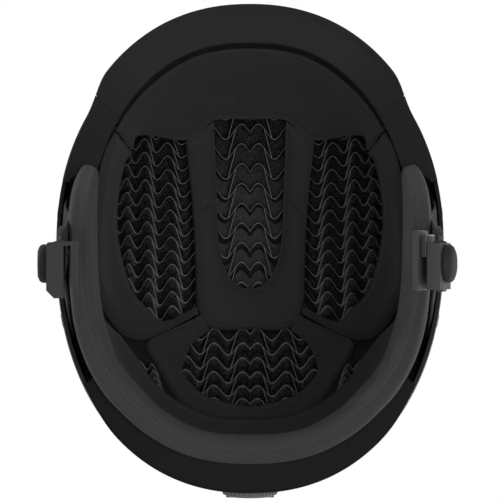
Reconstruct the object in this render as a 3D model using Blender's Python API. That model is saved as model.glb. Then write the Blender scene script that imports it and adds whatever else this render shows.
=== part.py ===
"""Brimmed ski helmet: hard shell, foam, wavy-cell inserts, comfort pads, ear pads, chin strap and fit dial.

Metres, +Z up, the front of the helmet towards -Y. In names, left is the -X side and right the +X side.
The origin lies on the head's axis, level with the flat underside of the rear rim.
"""
import math

import bmesh
import bpy
from mathutils import Matrix, Vector

for old in list(bpy.data.objects):
    bpy.data.objects.remove(old, do_unlink=True)

MM = 0.001
GAP = 0.3 * MM

# Helmet surfaces: two superellipsoids, the painted outside and the face of the comfort pads
OUTER = dict(z=45 * MM, side=113.5 * MM, front=136 * MM, rear=142 * MM, up=120 * MM, down=150 * MM, power=2.2)
INNER = dict(z=18 * MM, side=90 * MM, front=123 * MM, rear=113 * MM, up=116 * MM, down=150 * MM, power=2.35)
DOME_SIDES, DOME_BANDS = 36, 9
RAY_CENTRE = Vector((0, -5, 40)) * MM
PATTERN_RADIUS = 100 * MM

# Layers, as shares of the wall from the outside (0) to the pads' face (1)
SHELL_WALL = 2.2 * MM
GLUE_GAP = 1.3 * MM
FOAM_FACE = 0.755
POCKET_FLOOR = 0.46
CELL_BACK, CELL_SHEET, CELL_TOP = 0.52, 0.56, 0.75
PAD_BACK, PAD_EDGE, PAD_FACE = 0.82, 0.90, 1.0

# Rim: height of the rim covers' underside, falling from the brim to the flat rear
RIM_FRONT = 47 * MM
RIM_FALL = (26, 112)
COVER = 3.0 * MM
EAR_TOP = 39 * MM
EAR_SPAN = (62.5, 138)
NECK_CHAMFER = 18 * MM
BRIM_REACH = 10.4 * MM
BRIM_END = 46.5
TEMPLE_END = 62.0
REAR_TRIM_END = 131.0

# Fit dial and its rack drive
DIAL_Z = 28 * MM
DIAL_RADIUS = 16.2 * MM
DIAL_FACE_Y = 144.5 * MM
DIAL_BACK_Y = 136.4 * MM
DIAL_GRIPS = 18
RACK_Y = 122.5 * MM
RACK_THICK = 1.8 * MM
PINION_TEETH = 8
MODULE = 0.75 * MM
PITCH_RADIUS = PINION_TEETH * MODULE / 2
NOTCH_RADIUS = 20.5 * MM

# Straps and buckle
WEB = 1.5 * MM
WEB_WIDTH = 16 * MM
STRAP_PIVOT = Vector((102.0, -3, -54)) * MM
LEG_LAYER = 0.95 * MM
BAR = Vector((101.4, 9, -86)) * MM
SOCKET_FACE, PLUG_FACE = 4.4 * MM, 5.2 * MM
BUCKLE_TILT = {-1: 4.0, 1: 18.0}
RIVET_FRONT = (-22 * MM, 28 * MM)
RIVET_REAR = (41 * MM, 17 * MM)
RIVET_HOLE = 2.5 * MM
RIVET_HEAD = 4.2 * MM

# Goggle clip at the back of the shell
CLIP_PIN_Z = 60 * MM
CLIP_TOP_Z = 96 * MM
CLIP_PIN_OFF = 6.4 * MM


def material(name, colour, roughness, metallic=0.0):
    made = bpy.data.materials.get(name) or bpy.data.materials.new(name)
    made.use_nodes = True
    shader = made.node_tree.nodes["Principled BSDF"]
    shader.inputs["Base Color"].default_value = (*colour, 1.0)
    shader.inputs["Roughness"].default_value = roughness
    shader.inputs["Metallic"].default_value = metallic
    return made


SHELL_BLACK = material("shell_black", (0.020, 0.020, 0.021), 0.55)
FOAM_BLACK = material("foam_black", (0.012, 0.012, 0.012), 0.9)
CELL_GREY = material("cell_grey", (0.030, 0.030, 0.031), 0.45)
LINER_BLACK = material("liner_black", (0.014, 0.014, 0.014), 0.95)
KNIT_GREY = material("knit_grey", (0.035, 0.035, 0.035), 0.95)
WEBBING_GREY = material("webbing_grey", (0.040, 0.040, 0.041), 0.85)
BUCKLE_GREY = material("buckle_grey", (0.060, 0.060, 0.061), 0.5)
DIAL_GREY = material("dial_grey", (0.13, 0.13, 0.13), 0.6)
FITTING_BLACK = material("fitting_black", (0.025, 0.025, 0.025), 0.5)
STEEL = material("steel", (0.45, 0.45, 0.46), 0.35, 1.0)


def solid(name, points, faces, finish, smooth=True):
    """Make one closed object from points and faces, with doubles merged and faces turned outwards."""
    mesh = bpy.data.meshes.new(name)
    mesh.from_pydata([tuple(p) for p in points], [], faces)
    work = bmesh.new()
    work.from_mesh(mesh)
    bmesh.ops.remove_doubles(work, verts=work.verts, dist=1e-6)
    bmesh.ops.recalc_face_normals(work, faces=work.faces)
    work.to_mesh(mesh)
    work.free()
    if smooth:
        mesh.shade_smooth()
        mesh.set_sharp_from_angle(angle=math.radians(35))
    made = bpy.data.objects.new(name, mesh)
    made.data.materials.append(finish)
    bpy.context.collection.objects.link(made)
    return made


def loft(name, rings, finish, capped=True):
    """Join rings of equal point counts, one after another; the ends are filled, or meet when not capped."""
    count = len(rings[0])
    points = [p for ring in rings for p in ring]
    spans = len(rings) - 1 if capped else len(rings)
    faces = []
    for i in range(spans):
        a, b = i * count, ((i + 1) % len(rings)) * count
        faces += [(a + k, a + (k + 1) % count, b + (k + 1) % count, b + k) for k in range(count)]
    if capped:
        faces.append(tuple(range(count)))
        faces.append(tuple(range(len(points) - count, len(points))))
    return solid(name, points, faces, finish)


def slab(name, front, back, finish, wrap=False, pole=False):
    """A curved plate between two grids of points; wrap joins the rows in a ring, pole shuts column 0."""
    rows, cols = len(front), len(front[0])
    points = [p for row in front for p in row] + [p for row in back for p in row]
    half = rows * cols
    faces = []
    for i in range(rows if wrap else rows - 1):
        n = (i + 1) % rows
        for j in range(cols - 1):
            quad = (i * cols + j, n * cols + j, n * cols + j + 1, i * cols + j + 1)
            faces.append(quad)
            faces.append(tuple(half + k for k in quad))
        for j in ([cols - 1] if pole else [0, cols - 1]):
            faces.append((i * cols + j, n * cols + j, half + n * cols + j, half + i * cols + j))
    if not wrap:
        for i in (0, rows - 1):
            for j in range(cols - 1):
                a = i * cols + j
                faces.append((a, a + 1, half + a + 1, half + a))
    return solid(name, points, faces, finish)


def plate(name, outline, start, end, finish, place=Matrix.Identity(4)):
    """Extrude a flat outline, given as (a, b) pairs, between two heights of a placed frame."""
    rings = [[place @ Vector((a, b, h)) for a, b in outline] for h in (start, end)]
    return loft(name, rings, finish)


def turned(name, profile, place, finish, sides):
    """Turn a profile of (radius, height) pairs about a placed Z axis, with flat ends."""
    turn = [2 * math.pi * k / sides for k in range(sides)]
    rings = [[place @ Vector((r * math.cos(t), r * math.sin(t), h)) for t in turn] for r, h in profile]
    return loft(name, rings, finish)


def cut(target, cutter, operation="DIFFERENCE"):
    """Cut a piece with another shape, or join the shape to it, and keep that shape out of the model."""
    step = target.modifiers.new(cutter.name, "BOOLEAN")
    step.operation = operation
    step.object = cutter
    step.solver = "EXACT"
    cutter.hide_render = True
    cutter.display_type = "WIRE"
    return target


def hang(pivot_name, pivot, pieces):
    """Hang pieces that move together from an empty on their joint's axis."""
    empty = bpy.data.objects.new(pivot_name, None)
    empty.location = pivot
    bpy.context.collection.objects.link(empty)
    for piece in pieces:
        piece.data.transform(Matrix.Translation(-Vector(pivot)))
        piece.parent = empty


def axis_frame(origin, axis, hint=Vector((0, 0, 1))):
    """A frame at origin whose Z runs along axis."""
    z = Vector(axis).normalized()
    x = hint.cross(z)
    x = (x if x.length > 1e-6 else Vector((1, 0, 0))).normalized()
    y = z.cross(x)
    turn = Matrix((x, y, z)).transposed().to_4x4()
    return Matrix.Translation(Vector(origin)) @ turn


def arc(cx, cy, radius, start, end, steps):
    """Points on an arc of a flat outline, from start to end in degrees."""
    turn = [math.radians(start + (end - start) * k / steps) for k in range(steps + 1)]
    return [(cx + radius * math.cos(t), cy + radius * math.sin(t)) for t in turn]


def rounded_box(a0, a1, b0, b1, radius, steps=3):
    """Outline of a rectangle with round corners."""
    points = arc(a1 - radius, b1 - radius, radius, 0, 90, steps)
    points += arc(a0 + radius, b1 - radius, radius, 90, 180, steps)
    points += arc(a0 + radius, b0 + radius, radius, 180, 270, steps)
    points += arc(a1 - radius, b0 + radius, radius, 270, 360, steps)
    return points


def ease(x):
    """Smooth step from 0 to 1."""
    x = min(1.0, max(0.0, x))
    return x * x * (3 - 2 * x)


def spread(keys, steps):
    """A smooth curve through key points, with a number of steps from each key to the next."""
    keys = [Vector(k) for k in keys]
    ends = [2 * keys[0] - keys[1]] + keys + [2 * keys[-1] - keys[-2]]
    points = []
    for i in range(len(keys) - 1):
        a, b, c, d = ends[i : i + 4]
        for k in range(steps):
            t = k / steps
            bend = (2 * a - 5 * b + 4 * c - d) * t * t + (3 * b - a - 3 * c + d) * t * t * t
            points.append(b + 0.5 * ((c - a) * t + bend))
    return points + [keys[-1]]


def mirrored(keys):
    """Left-hand keys that end on the middle line, followed by their mirror image."""
    return keys + [(-p, q) for p, q in reversed(keys[:-1])]


# Places on the domes

def radius_to(dome, aim):
    """Distance from the ray centre to a dome along a direction."""
    low, high = 0.0, 0.3
    for _ in range(36):
        mid = (low + high) / 2
        x, y, z = RAY_CENTRE + aim * mid
        lean = dome["front"] if y < 0 else dome["rear"]
        rise = dome["up"] if z > dome["z"] else dome["down"]
        power = dome["power"]
        level = abs(x / dome["side"]) ** power + abs(y / lean) ** power + abs((z - dome["z"]) / rise) ** power
        low, high = (mid, high) if level < 1 else (low, mid)
    return low


def polar(azimuth, tilt):
    """Direction at an azimuth in degrees, from the front to the right, and a tilt from the crown."""
    turn = math.radians(azimuth)
    return Vector((math.sin(tilt) * math.sin(turn), -math.sin(tilt) * math.cos(turn), math.cos(tilt)))


def aim_at(p, q):
    """Direction for a point of the liner's flat pattern, in millimetres right of and behind the crown."""
    reach = math.hypot(p, q)
    tilt = reach * MM / PATTERN_RADIUS
    return polar(math.degrees(math.atan2(p, -q)), tilt)


def point(aim, depth, off=0.0):
    """Point along a direction at a share of the wall, moved outwards by off."""
    outside, inside = radius_to(OUTER, aim), radius_to(INNER, aim)
    return RAY_CENTRE + aim * (outside + (inside - outside) * depth + off)


def rim_aim(azimuth, height, depth, off=0.0):
    """Direction at an azimuth whose point at a depth lies at a height."""
    low, high = 0.3, 2.6
    for _ in range(28):
        mid = (low + high) / 2
        low, high = (mid, high) if point(polar(azimuth, mid), depth, off).z > height else (low, mid)
    return polar(azimuth, low)


def rim_height(azimuth):
    """Height of the rim covers' underside."""
    start, end = RIM_FALL
    return RIM_FRONT * ease((end - abs(azimuth)) / (end - start))


def ear_share(azimuth):
    """How far the foam is cut up for the ear: 1 over the ear, 0 at the temple and the back."""
    turn = abs(azimuth)
    return ease((turn - EAR_SPAN[0]) / 6) * ease((EAR_SPAN[1] - turn) / 20)


def foam_rim(azimuth):
    """Height of the foam's outer edge: on the rim covers, and cut up over the ears."""
    height = rim_height(azimuth) + COVER + GLUE_GAP
    return height + (EAR_TOP - height) * ear_share(azimuth)


def foam_inner_rim(azimuth):
    """Height of the foam's inner edge, chamfered up above the neck roll."""
    raised = NECK_CHAMFER * ease((abs(azimuth) - 112) / 26)
    return max(foam_rim(azimuth), raised)


def dome(name, rims, skins, finish):
    """A dome wall; rims and skins give the lower edge and the (depth, off) of its outside and inside."""
    grids = []
    for rim, (depth, off) in zip(rims, skins):
        grid = []
        for i in range(DOME_SIDES):
            azimuth = 360 * i / DOME_SIDES - 180
            last = math.acos(rim_aim(azimuth, rim(azimuth), depth, off).z)
            tilts = [last * j / DOME_BANDS for j in range(DOME_BANDS + 1)]
            grid.append([point(polar(azimuth, tilt), depth, off) for tilt in tilts])
        grids.append(grid)
    return slab(name, grids[0], grids[1], finish, wrap=True, pole=True)


# Shell and foam

def notch(name, radius, near, far):
    """Arched cutter for the fit dial, open at the rim."""
    outline = arc(0, DIAL_Z, radius, 0, 180, 14) + [(-radius, -30 * MM), (radius, -30 * MM)]
    place = Matrix(((1, 0, 0, 0), (0, 0, 1, 0), (0, 1, 0, 0), (0, 0, 0, 1)))
    return plate(name, outline, near, far, FOAM_BLACK, place)


# Vents on the right half of the flat pattern, in millimetres: middle, half length, turn in degrees
VENTS = [(62, -56, 24, 17), (74, 2, 24, 4), (23, 86, 17, 20)]
VENT_HALF_WIDTH = 5.0


def vent_cutters(label, inner_depth, slack):
    """Slots through the crown, in left and right pairs, each pointing back and outwards."""
    made = []
    for side in (-1, 1):
        for number, (p, q, half, turn) in enumerate(VENTS):
            lean = math.radians(turn)
            flat = arc(0, half - VENT_HALF_WIDTH, VENT_HALF_WIDTH + slack, 0, 180, 4)
            flat += arc(0, VENT_HALF_WIDTH - half, VENT_HALF_WIDTH + slack, 180, 360, 4)
            spots = []
            for a, b in flat:
                outwards = p + a * math.cos(lean) + b * math.sin(lean)
                spots.append((side * outwards, q + b * math.cos(lean) - a * math.sin(lean)))
            rings = [[point(aim_at(*s), depth) for s in spots] for depth in (-0.5, inner_depth)]
            made.append(loft(f"cut_{label}_vent_{number}_{side}", rings, FOAM_BLACK))
    return made


def rivet_spots():
    """Strap anchors: side sign, name, point on the shell, outward direction."""
    spots = []
    for side, side_name in ((-1, "left"), (1, "right")):
        for end_name, (y, z) in (("front", RIVET_FRONT), ("rear", RIVET_REAR)):
            lean = OUTER["front"] if y < 0 else OUTER["rear"]
            power = OUTER["power"]
            rest = 1 - abs(y / lean) ** power - abs((z - OUTER["z"]) / OUTER["down"]) ** power
            x = OUTER["side"] * rest ** (1 / power)
            steep = Vector((
                (x / OUTER["side"]) ** (power - 1) / OUTER["side"],
                math.copysign(abs(y / lean) ** (power - 1) / lean, y),
                -abs((z - OUTER["z"]) / OUTER["down"]) ** (power - 1) / OUTER["down"],
            )).normalized()
            outwards = Vector((side * steep.x, steep.y, steep.z))
            spots.append((side, f"{side_name}_{end_name}", Vector((side * x, y, z)), outwards))
    return spots


def shell_rim(azimuth):
    """Height of the shell's edge, just above the rim covers."""
    return rim_height(azimuth) + COVER + 2 * GAP


def outer_shell():
    """Hard painted dome with the dial's notch, the vents and the holes for the strap rivets."""
    made = dome("outer_shell", (shell_rim, shell_rim), ((0, 0), (0, -SHELL_WALL)), SHELL_BLACK)
    cut(made, notch("cut_shell_notch", NOTCH_RADIUS, 0.115, 0.17))
    for cutter in vent_cutters("shell", 0.3, 0.0):
        cut(made, cutter)
    sink = RIVET_HEAD + 0.4 * MM
    hole = [(RIVET_HOLE, -8 * MM), (RIVET_HOLE, -1.9 * MM), (sink, 0.1 * MM), (sink, 8 * MM)]
    for _, spot, place, out in rivet_spots():
        cut(made, turned(f"cut_shell_{spot}", hole, axis_frame(place, out), SHELL_BLACK, 10))
    return made


PANELS = {
    # Corners on the flat pattern, clockwise from front left; rows of waves, half waves in a row, sway
    "cell_panel_front": ((-27, -87), (27, -87), (27, 35), (-27, 35), 9, 6, 3.6),
    "cell_panel_rear": ((-44, 53), (44, 53), (46, 113), (-46, 113), 6, 8, 2.8),
    "cell_panel_left": ((-112, -96), (-38, -68), (-34, 50), (-106, 58), 9, 6, 3.4),
    "cell_panel_right": ((38, -68), (112, -96), (106, 58), (34, 50), 9, 6, 3.4),
    "cell_panel_nape_left": ((-113, 83), (-62, 81), (-54, 117), (-92, 112), 3, 4, 2.6),
    "cell_panel_nape_right": ((62, 81), (113, 83), (92, 112), (54, 117), 3, 4, 2.6),
}


def across(corners, u, v):
    """Point of a four-cornered patch of the flat pattern."""
    a, b, c, d = (Vector(k) for k in corners)
    return (a * (1 - u) + b * u) * (1 - v) + (d * (1 - u) + c * u) * v


def pocket(name, corners):
    """Cutter for the recess that a cell panel sits in."""
    margin, cell = 1.8, 21.0
    middle = sum((Vector(k) for k in corners), Vector((0, 0))) / 4
    wide = [Vector(k) + (Vector(k) - middle).normalized() * margin for k in corners]
    columns = max(2, round((wide[1] - wide[0]).length / cell))
    lines = max(2, round((wide[3] - wide[0]).length / cell))
    grid = []
    for i in range(columns + 1):
        grid.append([across(wide, i / columns, j / lines) for j in range(lines + 1)])
    front = [[point(aim_at(*s), 1.15) for s in row] for row in grid]
    back = [[point(aim_at(*s), POCKET_FLOOR) for s in row] for row in grid]
    return slab(name, front, back, FOAM_BLACK)


def band_pocket():
    """Cutter for the recess behind the nape pad that the fit bands slide in, open below."""
    reach, steps = 66 * MM, 20
    floor, straight, top = -30 * MM, 18 * MM, 42 * MM
    front, back = [], []
    for k in range(steps + 1):
        x = reach * (2 * k / steps - 1)
        front.append([Vector((x, 85 * MM, z)) for z in (floor, straight, top)])
        walls = [band_point(x, z, -4.2 * MM) for z in (straight, straight, top)]
        back.append([Vector((wall.x, wall.y, z)) for wall, z in zip(walls, (floor, straight, top))])
    return slab("cut_band_pocket", front, back, FOAM_BLACK)


def foam_liner():
    """Thick foam dome with a pocket for each cell panel, the fit bands' recess and the vents' channels."""
    skins = ((0, -SHELL_WALL - GLUE_GAP), (FOAM_FACE, 0))
    made = dome("foam_liner", (foam_rim, foam_inner_rim), skins, FOAM_BLACK)
    for name, panel in PANELS.items():
        cut(made, pocket(f"cut_{name}", panel[:4]))
    cut(made, notch("cut_foam_notch", NOTCH_RADIUS - 1 * MM, 0.09, 0.17))
    cut(made, band_pocket())
    for cutter in vent_cutters("foam", 0.53, 0.6):
        cut(made, cutter)
    return made


def cell_panel(name, corners, rows, halves, sway):
    """A sheet with rows of thin wavy walls standing on it, mirrored about its middle."""
    wall = 0.9
    steps = 2 * halves
    length = (across(corners, 0.5, 1) - across(corners, 0.5, 0)).length
    lines = [("edge", 0.0)]
    for k in range(rows):
        lines += [(part, (k + 0.5) / rows) for part in ("foot_a", "top", "foot_b")]
    lines.append(("edge", 1.0))
    shift = {"edge": 0.0, "foot_a": -wall, "top": 0.0, "foot_b": wall}
    front, back = [], []
    for part, v in lines:
        ridge, base = [], []
        for i in range(steps + 1):
            u = i / steps
            wave = math.cos(math.pi * halves * (u - 0.5) + math.pi / 2 * (halves % 2))
            bend = 0.0 if part == "edge" else -sway * wave
            spot = aim_at(*across(corners, u, v + (shift[part] + bend) / length))
            ridge.append(point(spot, CELL_TOP if part == "top" else CELL_SHEET))
            base.append(point(spot, CELL_BACK))
        front.append(ridge)
        if part in ("edge", "top"):
            back.append(base)
    count = steps + 1
    points = [p for row in front for p in row] + [p for row in back for p in row]
    start = len(front) * count
    last_row, last_back = len(front) - 1, len(back) - 1
    faces = []
    for i in range(steps):
        for j in range(last_row):
            faces.append((j * count + i, j * count + i + 1, (j + 1) * count + i + 1, (j + 1) * count + i))
        for j in range(last_back):
            a = start + j * count + i
            faces.append((a, a + 1, a + 1 + count, a + count))
        for f, b in ((0, 0), (last_row, last_back)):
            a, c = f * count + i, start + b * count + i
            faces.append((a, a + 1, c + 1, c))
    tops = [0] + [2 + 3 * k for k in range(rows)] + [last_row]
    for i in (0, steps):
        for b in range(last_back):
            chain = [j * count + i for j in range(tops[b], tops[b + 1] + 1)]
            faces.append(tuple(chain + [start + (b + 1) * count + i, start + b * count + i]))
    return solid(name, points, faces, CELL_GREY, smooth=False)


# Rim covers

def flare(azimuth):
    """How far the brim stands out from the shell."""
    turn = abs(azimuth)
    return BRIM_REACH * (1 - 0.22 * (turn / 40) ** 2) * (1 - ease((turn - 40) / 13))


def at_height(azimuth, height, depth, off=0.0):
    """Point of a layer at an azimuth and a height."""
    return point(rim_aim(azimuth, height, depth, off), depth, off)


def pushed(place, azimuth, reach, height):
    """A point moved level and outwards, and set to a height."""
    turn = math.radians(azimuth)
    moved = place + Vector((math.sin(turn), -math.cos(turn), 0)) * reach
    return Vector((moved.x, moved.y, height))


def brim():
    """Visor along the front rim: it stands out from the shell, covers its edge and reaches under the foam."""
    rings = []
    count = 24
    for k in range(count + 1):
        azimuth = -BRIM_END + 2 * BRIM_END * k / count
        low, reach = rim_height(azimuth), flare(azimuth)
        root = low + COVER + 15 * MM * reach / BRIM_REACH
        edge = at_height(azimuth, low + COVER, 0)
        inner = at_height(azimuth, low + COVER, 0.90)
        dip = 2.5 * MM * reach / BRIM_REACH
        rings.append([
            pushed(inner, azimuth, 0, low),
            pushed(edge, azimuth, 0.45 * reach, low - 0.4 * dip),
            pushed(edge, azimuth, reach - 0.8 * MM, low - dip),
            pushed(edge, azimuth, reach, low - dip + 1.2 * MM),
            pushed(edge, azimuth, reach - 0.9 * MM, low - dip + 2.6 * MM),
            pushed(edge, azimuth, 0.5 * reach, low + 0.4 * (root - low)),
            at_height(azimuth, root, 0, 1.0 * MM),
            at_height(azimuth, root - 0.5 * MM, 0, GAP),
            at_height(azimuth, low + COVER + 0.5 * (root - low - COVER), 0, GAP),
            at_height(azimuth, low + COVER, 0, GAP),
            pushed(inner, azimuth, 0, low + COVER),
        ])
    return loft("brim", rings, SHELL_BLACK)


def temple_trim(side, name):
    """Edge cover from the brim's end to the ear."""
    rings = []
    count = 8
    for k in range(count + 1):
        turn = BRIM_END + 0.4 + (TEMPLE_END - BRIM_END - 0.4) * k / count
        azimuth = side * turn
        low = rim_height(azimuth)
        edge = at_height(azimuth, low + COVER, 0)
        inner = at_height(azimuth, low + COVER, 0.90)
        reach = max(flare(azimuth), -0.2 * MM)
        rings.append([
            pushed(inner, azimuth, 0, low),
            pushed(edge, azimuth, reach - 0.8 * MM, low),
            pushed(edge, azimuth, reach, low + 1.0 * MM),
            pushed(edge, azimuth, reach, low + COVER),
            pushed(inner, azimuth, 0, low + COVER),
        ])
    return loft(name, rings, SHELL_BLACK)


def rear_trim():
    """Wedge-shaped cover of the rear rim, flat underneath, with a raised wall behind the neck roll."""
    rings = []
    count = 24
    for k in range(count + 1):
        azimuth = REAR_TRIM_END + (360 - 2 * REAR_TRIM_END) * k / count
        edge = at_height(azimuth, COVER, 0, -1.2 * MM)
        corner = ease(abs(180 - azimuth) / 38)
        wall = at_height(azimuth, COVER, 0.58 - 0.2 * corner)
        tall = (10 - 5 * corner) * MM
        middle = (edge + wall) / 2
        rings.append([
            pushed(wall, azimuth, 0, 0),
            pushed(edge, azimuth, -0.8 * MM, 0),
            pushed(edge, azimuth, 0, 0.8 * MM),
            pushed(edge, azimuth, 0, COVER),
            pushed(edge, azimuth, -3.5 * MM, COVER),
            pushed(middle, azimuth, 0, COVER + 1.5 * MM),
            pushed(wall, azimuth, 1.6 * MM, tall),
            pushed(wall, azimuth, 0, tall),
        ])
    return loft("rear_trim", rings, SHELL_BLACK)


# Comfort pads

ROLL_SIDE, ROLL_REAR, ROLL_POWER = 92.2 * MM, 112.5 * MM, 2.5
ROLL_START = 23.8
EAR_LEAN = 5.5 * MM


def crowned(u, v):
    """Height share of a cushion: 0 at its sewn edges, 1 over most of its middle."""
    return (1 - abs(2 * u - 1) ** 5) * (1 - abs(2 * v - 1) ** 3)


def pad(name, first, second, bands, finish, channels=()):
    """A crowned cushion between two edges of the flat pattern, sewn down at shares of its length."""
    rows = len(first)
    front, back = [], []
    for i in range(rows):
        u = i / (rows - 1)
        sewn = sum(math.exp(-(((u - c) * rows) / 0.6) ** 2) for c in channels)
        face, rear = [], []
        for j in range(bands + 1):
            v = j / bands
            spot = aim_at(*(Vector(first[i]) * (1 - v) + Vector(second[i]) * v))
            rise = max(0.0, crowned(u, v) - 0.7 * sewn)
            face.append(point(spot, PAD_EDGE + (PAD_FACE - PAD_EDGE) * rise))
            rear.append(point(spot, PAD_BACK))
        front.append(face)
        back.append(rear)
    return slab(name, front, back, finish)


def flat_spot(aim):
    """The flat pattern's point for a direction, in millimetres."""
    tilt = math.acos(max(-1.0, min(1.0, aim.z)))
    level = math.hypot(aim.x, aim.y)
    reach = tilt * PATTERN_RADIUS / MM
    return (reach * aim.x / level, reach * aim.y / level)


def rim_spots(azimuths, raise_by):
    """Flat pattern points just above the foam's inner rim."""
    return [flat_spot(rim_aim(a, foam_inner_rim(a) + raise_by, PAD_BACK)) for a in azimuths]


def forehead_pad():
    """Brow cushion along the front rim, whose inner edge goes round the front windows."""
    back_edge = [(-112, -95), (-90, -70.5), (-83.5, -79), (-42.5, -67.5), (-24, -79.5), (0, -80)]
    front_edge = rim_spots([-50, -44, -37, -19, -9, 0], 8 * MM)
    first, second = spread(mirrored(front_edge), 2), spread(mirrored(back_edge), 2)
    return pad("forehead_pad", first, second, 5, LINER_BLACK)


def crown_pad():
    """Looped cushion round the centre window, sewn across at the brow on both sides."""
    outside = [(-41.4, -66), (-37.6, -26), (-35.3, 13), (-33, 39), (-24.5, 52.5), (0, 53)]
    inside = [(-23.4, -77.6), (-22, -36), (-21.2, -6), (-17.5, 14.5), (-9.5, 27), (0, 30)]
    first, second = spread(mirrored(outside), 2), spread(mirrored(inside), 2)
    return pad("crown_pad", first, second, 4, LINER_BLACK, channels=(0.135, 0.865))


def side_pad(side, name):
    """Cushion between a side window and the rim over the ear."""
    window = [(-88.5, -66), (-98.5, -60), (-107, -30), (-105.7, -1.5), (-90, 32.5)]
    window += [(-72, 46), (-57.5, 53), (-34.3, 41.8)]
    lower = rim_spots([-52.5, -59, -72, -88, -104], 2.5 * MM) + [(-103, 67.5), (-73, 70.2), (-33.8, 45.2)]
    edges = []
    for line in (window, lower):
        edges.append([(-side * p, q) for p, q in spread(line, 3)])
    return pad(name, edges[0], edges[1], 4, LINER_BLACK)


def rear_pad():
    """Looped cushion round the rear window."""
    window = [(-26, 55.5), (-36, 63.5), (-43.5, 79), (-42.8, 88), (-31, 100), (-14.5, 106), (0, 109)]
    outside = [(-31.5, 48.8), (-57, 63), (-70.5, 74.5), (-70, 83), (-45, 110.8), (-24, 117.4), (0, 119)]
    first, second = spread(mirrored(window), 2), spread(mirrored(outside), 2)
    return pad("rear_pad", first, second, 4, LINER_BLACK)


def nape_pad():
    """Cushion along the back of the head, below the rear windows."""
    upper = [(-103, 76), (-84, 89), (-64, 104), (-45, 113.2), (-24, 119.8), (0, 121.4)]
    lower = rim_spots([-116, -128, -141, -155, -168, -180], 2.5 * MM)
    lower[-1] = (0, lower[-1][1])
    first, second = spread(mirrored(upper), 2), spread(mirrored(lower), 2)
    return pad("nape_pad", first, second, 4, LINER_BLACK)


def roll_spot(y):
    """Middle of the ear pads and neck roll, as a level distance from the middle line."""
    reach = ROLL_REAR if y > 0 else 230 * MM
    return ROLL_SIDE * max(0.0, 1 - abs(y / reach) ** ROLL_POWER) ** (1 / ROLL_POWER)


def pillow_ring(middle, outwards, half, low, high, lean=0.0, count=12):
    """Cross-section of a padded roll: a soft rectangle whose inner side leans off the head at the top."""
    ring = []
    for k in range(count):
        turn = 2 * math.pi * k / count
        c, s = math.cos(turn), math.sin(turn)
        a = math.copysign(abs(c) ** 0.62, c)
        b = math.copysign(abs(s) ** 0.62, s)
        z = (low + high) / 2 + (high - low) / 2 * b
        slope = lean * max(0.0, -a) * (b + 1) / 2
        ring.append(Vector((*(middle + outwards * (half * a + slope)), z)))
    return ring


def ear_pad(side, name):
    """Hanging ear pad: its lower edge drops from a narrow front tip and rises again to the neck roll."""
    stations = [
        # Place along the head, lower edge, upper edge and half thickness, in millimetres
        (-49, 18, 29, 3.2), (-46, 7, 33, 5.6), (-39, -10, 35, 7.0), (-29, -27, 35.5, 7.5),
        (-16, -39, 35.5, 7.6), (-2, -45, 35.5, 7.6), (12, -46, 35.5, 7.6), (25, -42, 35.5, 7.6),
        (38, -30, 34, 7.6), (48, -20, 30, 7.2),
    ]
    rings = []
    for y, low, high, half in stations:
        middle = Vector((side * roll_spot(y * MM), y * MM))
        lean = max(0.0, middle.y) * ROLL_SIDE / ROLL_REAR**2
        outwards = Vector((side, lean)).normalized()
        rings.append(pillow_ring(middle, outwards, half * MM, low * MM, high * MM, EAR_LEAN * half / 7.6))
    return loft(name, rings, KNIT_GREY)


def neck_roll():
    """Padded roll round the back of the neck, from one ear pad to the other, tucked under the foam's edge."""
    rings = []
    count = 20
    for k in range(count + 1):
        turn = math.radians(ROLL_START + (180 - 2 * ROLL_START) * k / count)
        c, s = -math.cos(turn), math.sin(turn)
        level = math.copysign(abs(c) ** (2 / ROLL_POWER), c)
        middle = Vector((ROLL_SIDE * level, ROLL_REAR * s ** (2 / ROLL_POWER)))
        steep = Vector((middle.x / ROLL_SIDE**2, middle.y / ROLL_REAR**2)).normalized()
        azimuth = math.degrees(math.atan2(middle.x, RAY_CENTRE.y - middle.y))
        side = ease(abs(k - count / 2) / (count / 2))
        end = ease(min(k, count - k) / 1.5)
        half = (5.9 + 1.6 * end + 1.0 * math.cos(4 * turn) * end) * MM
        low = (-6 - 14 * side) * MM
        high = min(26 * MM, foam_inner_rim(azimuth) - 7 * MM)
        middle_z = (low + high) / 2
        tall = (high - low) / 2 * (0.85 + 0.15 * end)
        rings.append(pillow_ring(middle, steep, half, middle_z - tall, middle_z + tall, 0.5 * half))
    return loft("neck_roll", rings, KNIT_GREY)


# Fit system

def band_point(x, z, off=0.0):
    """Line that the fit bands follow: straight through the dial housing, then along the foam."""
    straight = 25 * MM
    reach = abs(x) - straight
    if reach <= 0:
        return Vector((x, RACK_Y - off, z))
    depth = 0.70 - 0.13 * ease(reach / (38 * MM))
    low, high = 90.0, 180.0
    for _ in range(26):
        mid = (low + high) / 2
        spot = at_height_quick(mid, z, depth)
        low, high = (mid, high) if spot.x > abs(x) else (low, mid)
    spot = at_height_quick(low, z, depth)
    y = RACK_Y + (spot.y - RACK_Y) * ease(reach / (10 * MM))
    return Vector((x, y - off, z))


def at_height_quick(azimuth, z, depth):
    """Level ring of a layer: the point at an azimuth about the middle axis and a height."""
    turn = math.radians(azimuth)
    level = Vector((math.sin(turn), -math.cos(turn), 0))
    reach = []
    for dome_sizes in (OUTER, INNER):
        rise = dome_sizes["up"] if z > dome_sizes["z"] else dome_sizes["down"]
        power = dome_sizes["power"]
        rest = max(0.0, 1 - abs((z - dome_sizes["z"]) / rise) ** power)
        lean = dome_sizes["front"] if level.y < 0 else dome_sizes["rear"]
        scale = abs(level.x / dome_sizes["side"]) ** power + abs(level.y / lean) ** power
        reach.append((rest / scale) ** (1 / power))
    return Vector((level.x, level.y, 0)) * (reach[0] + (reach[1] - reach[0]) * depth) + Vector((0, 0, z))


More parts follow.
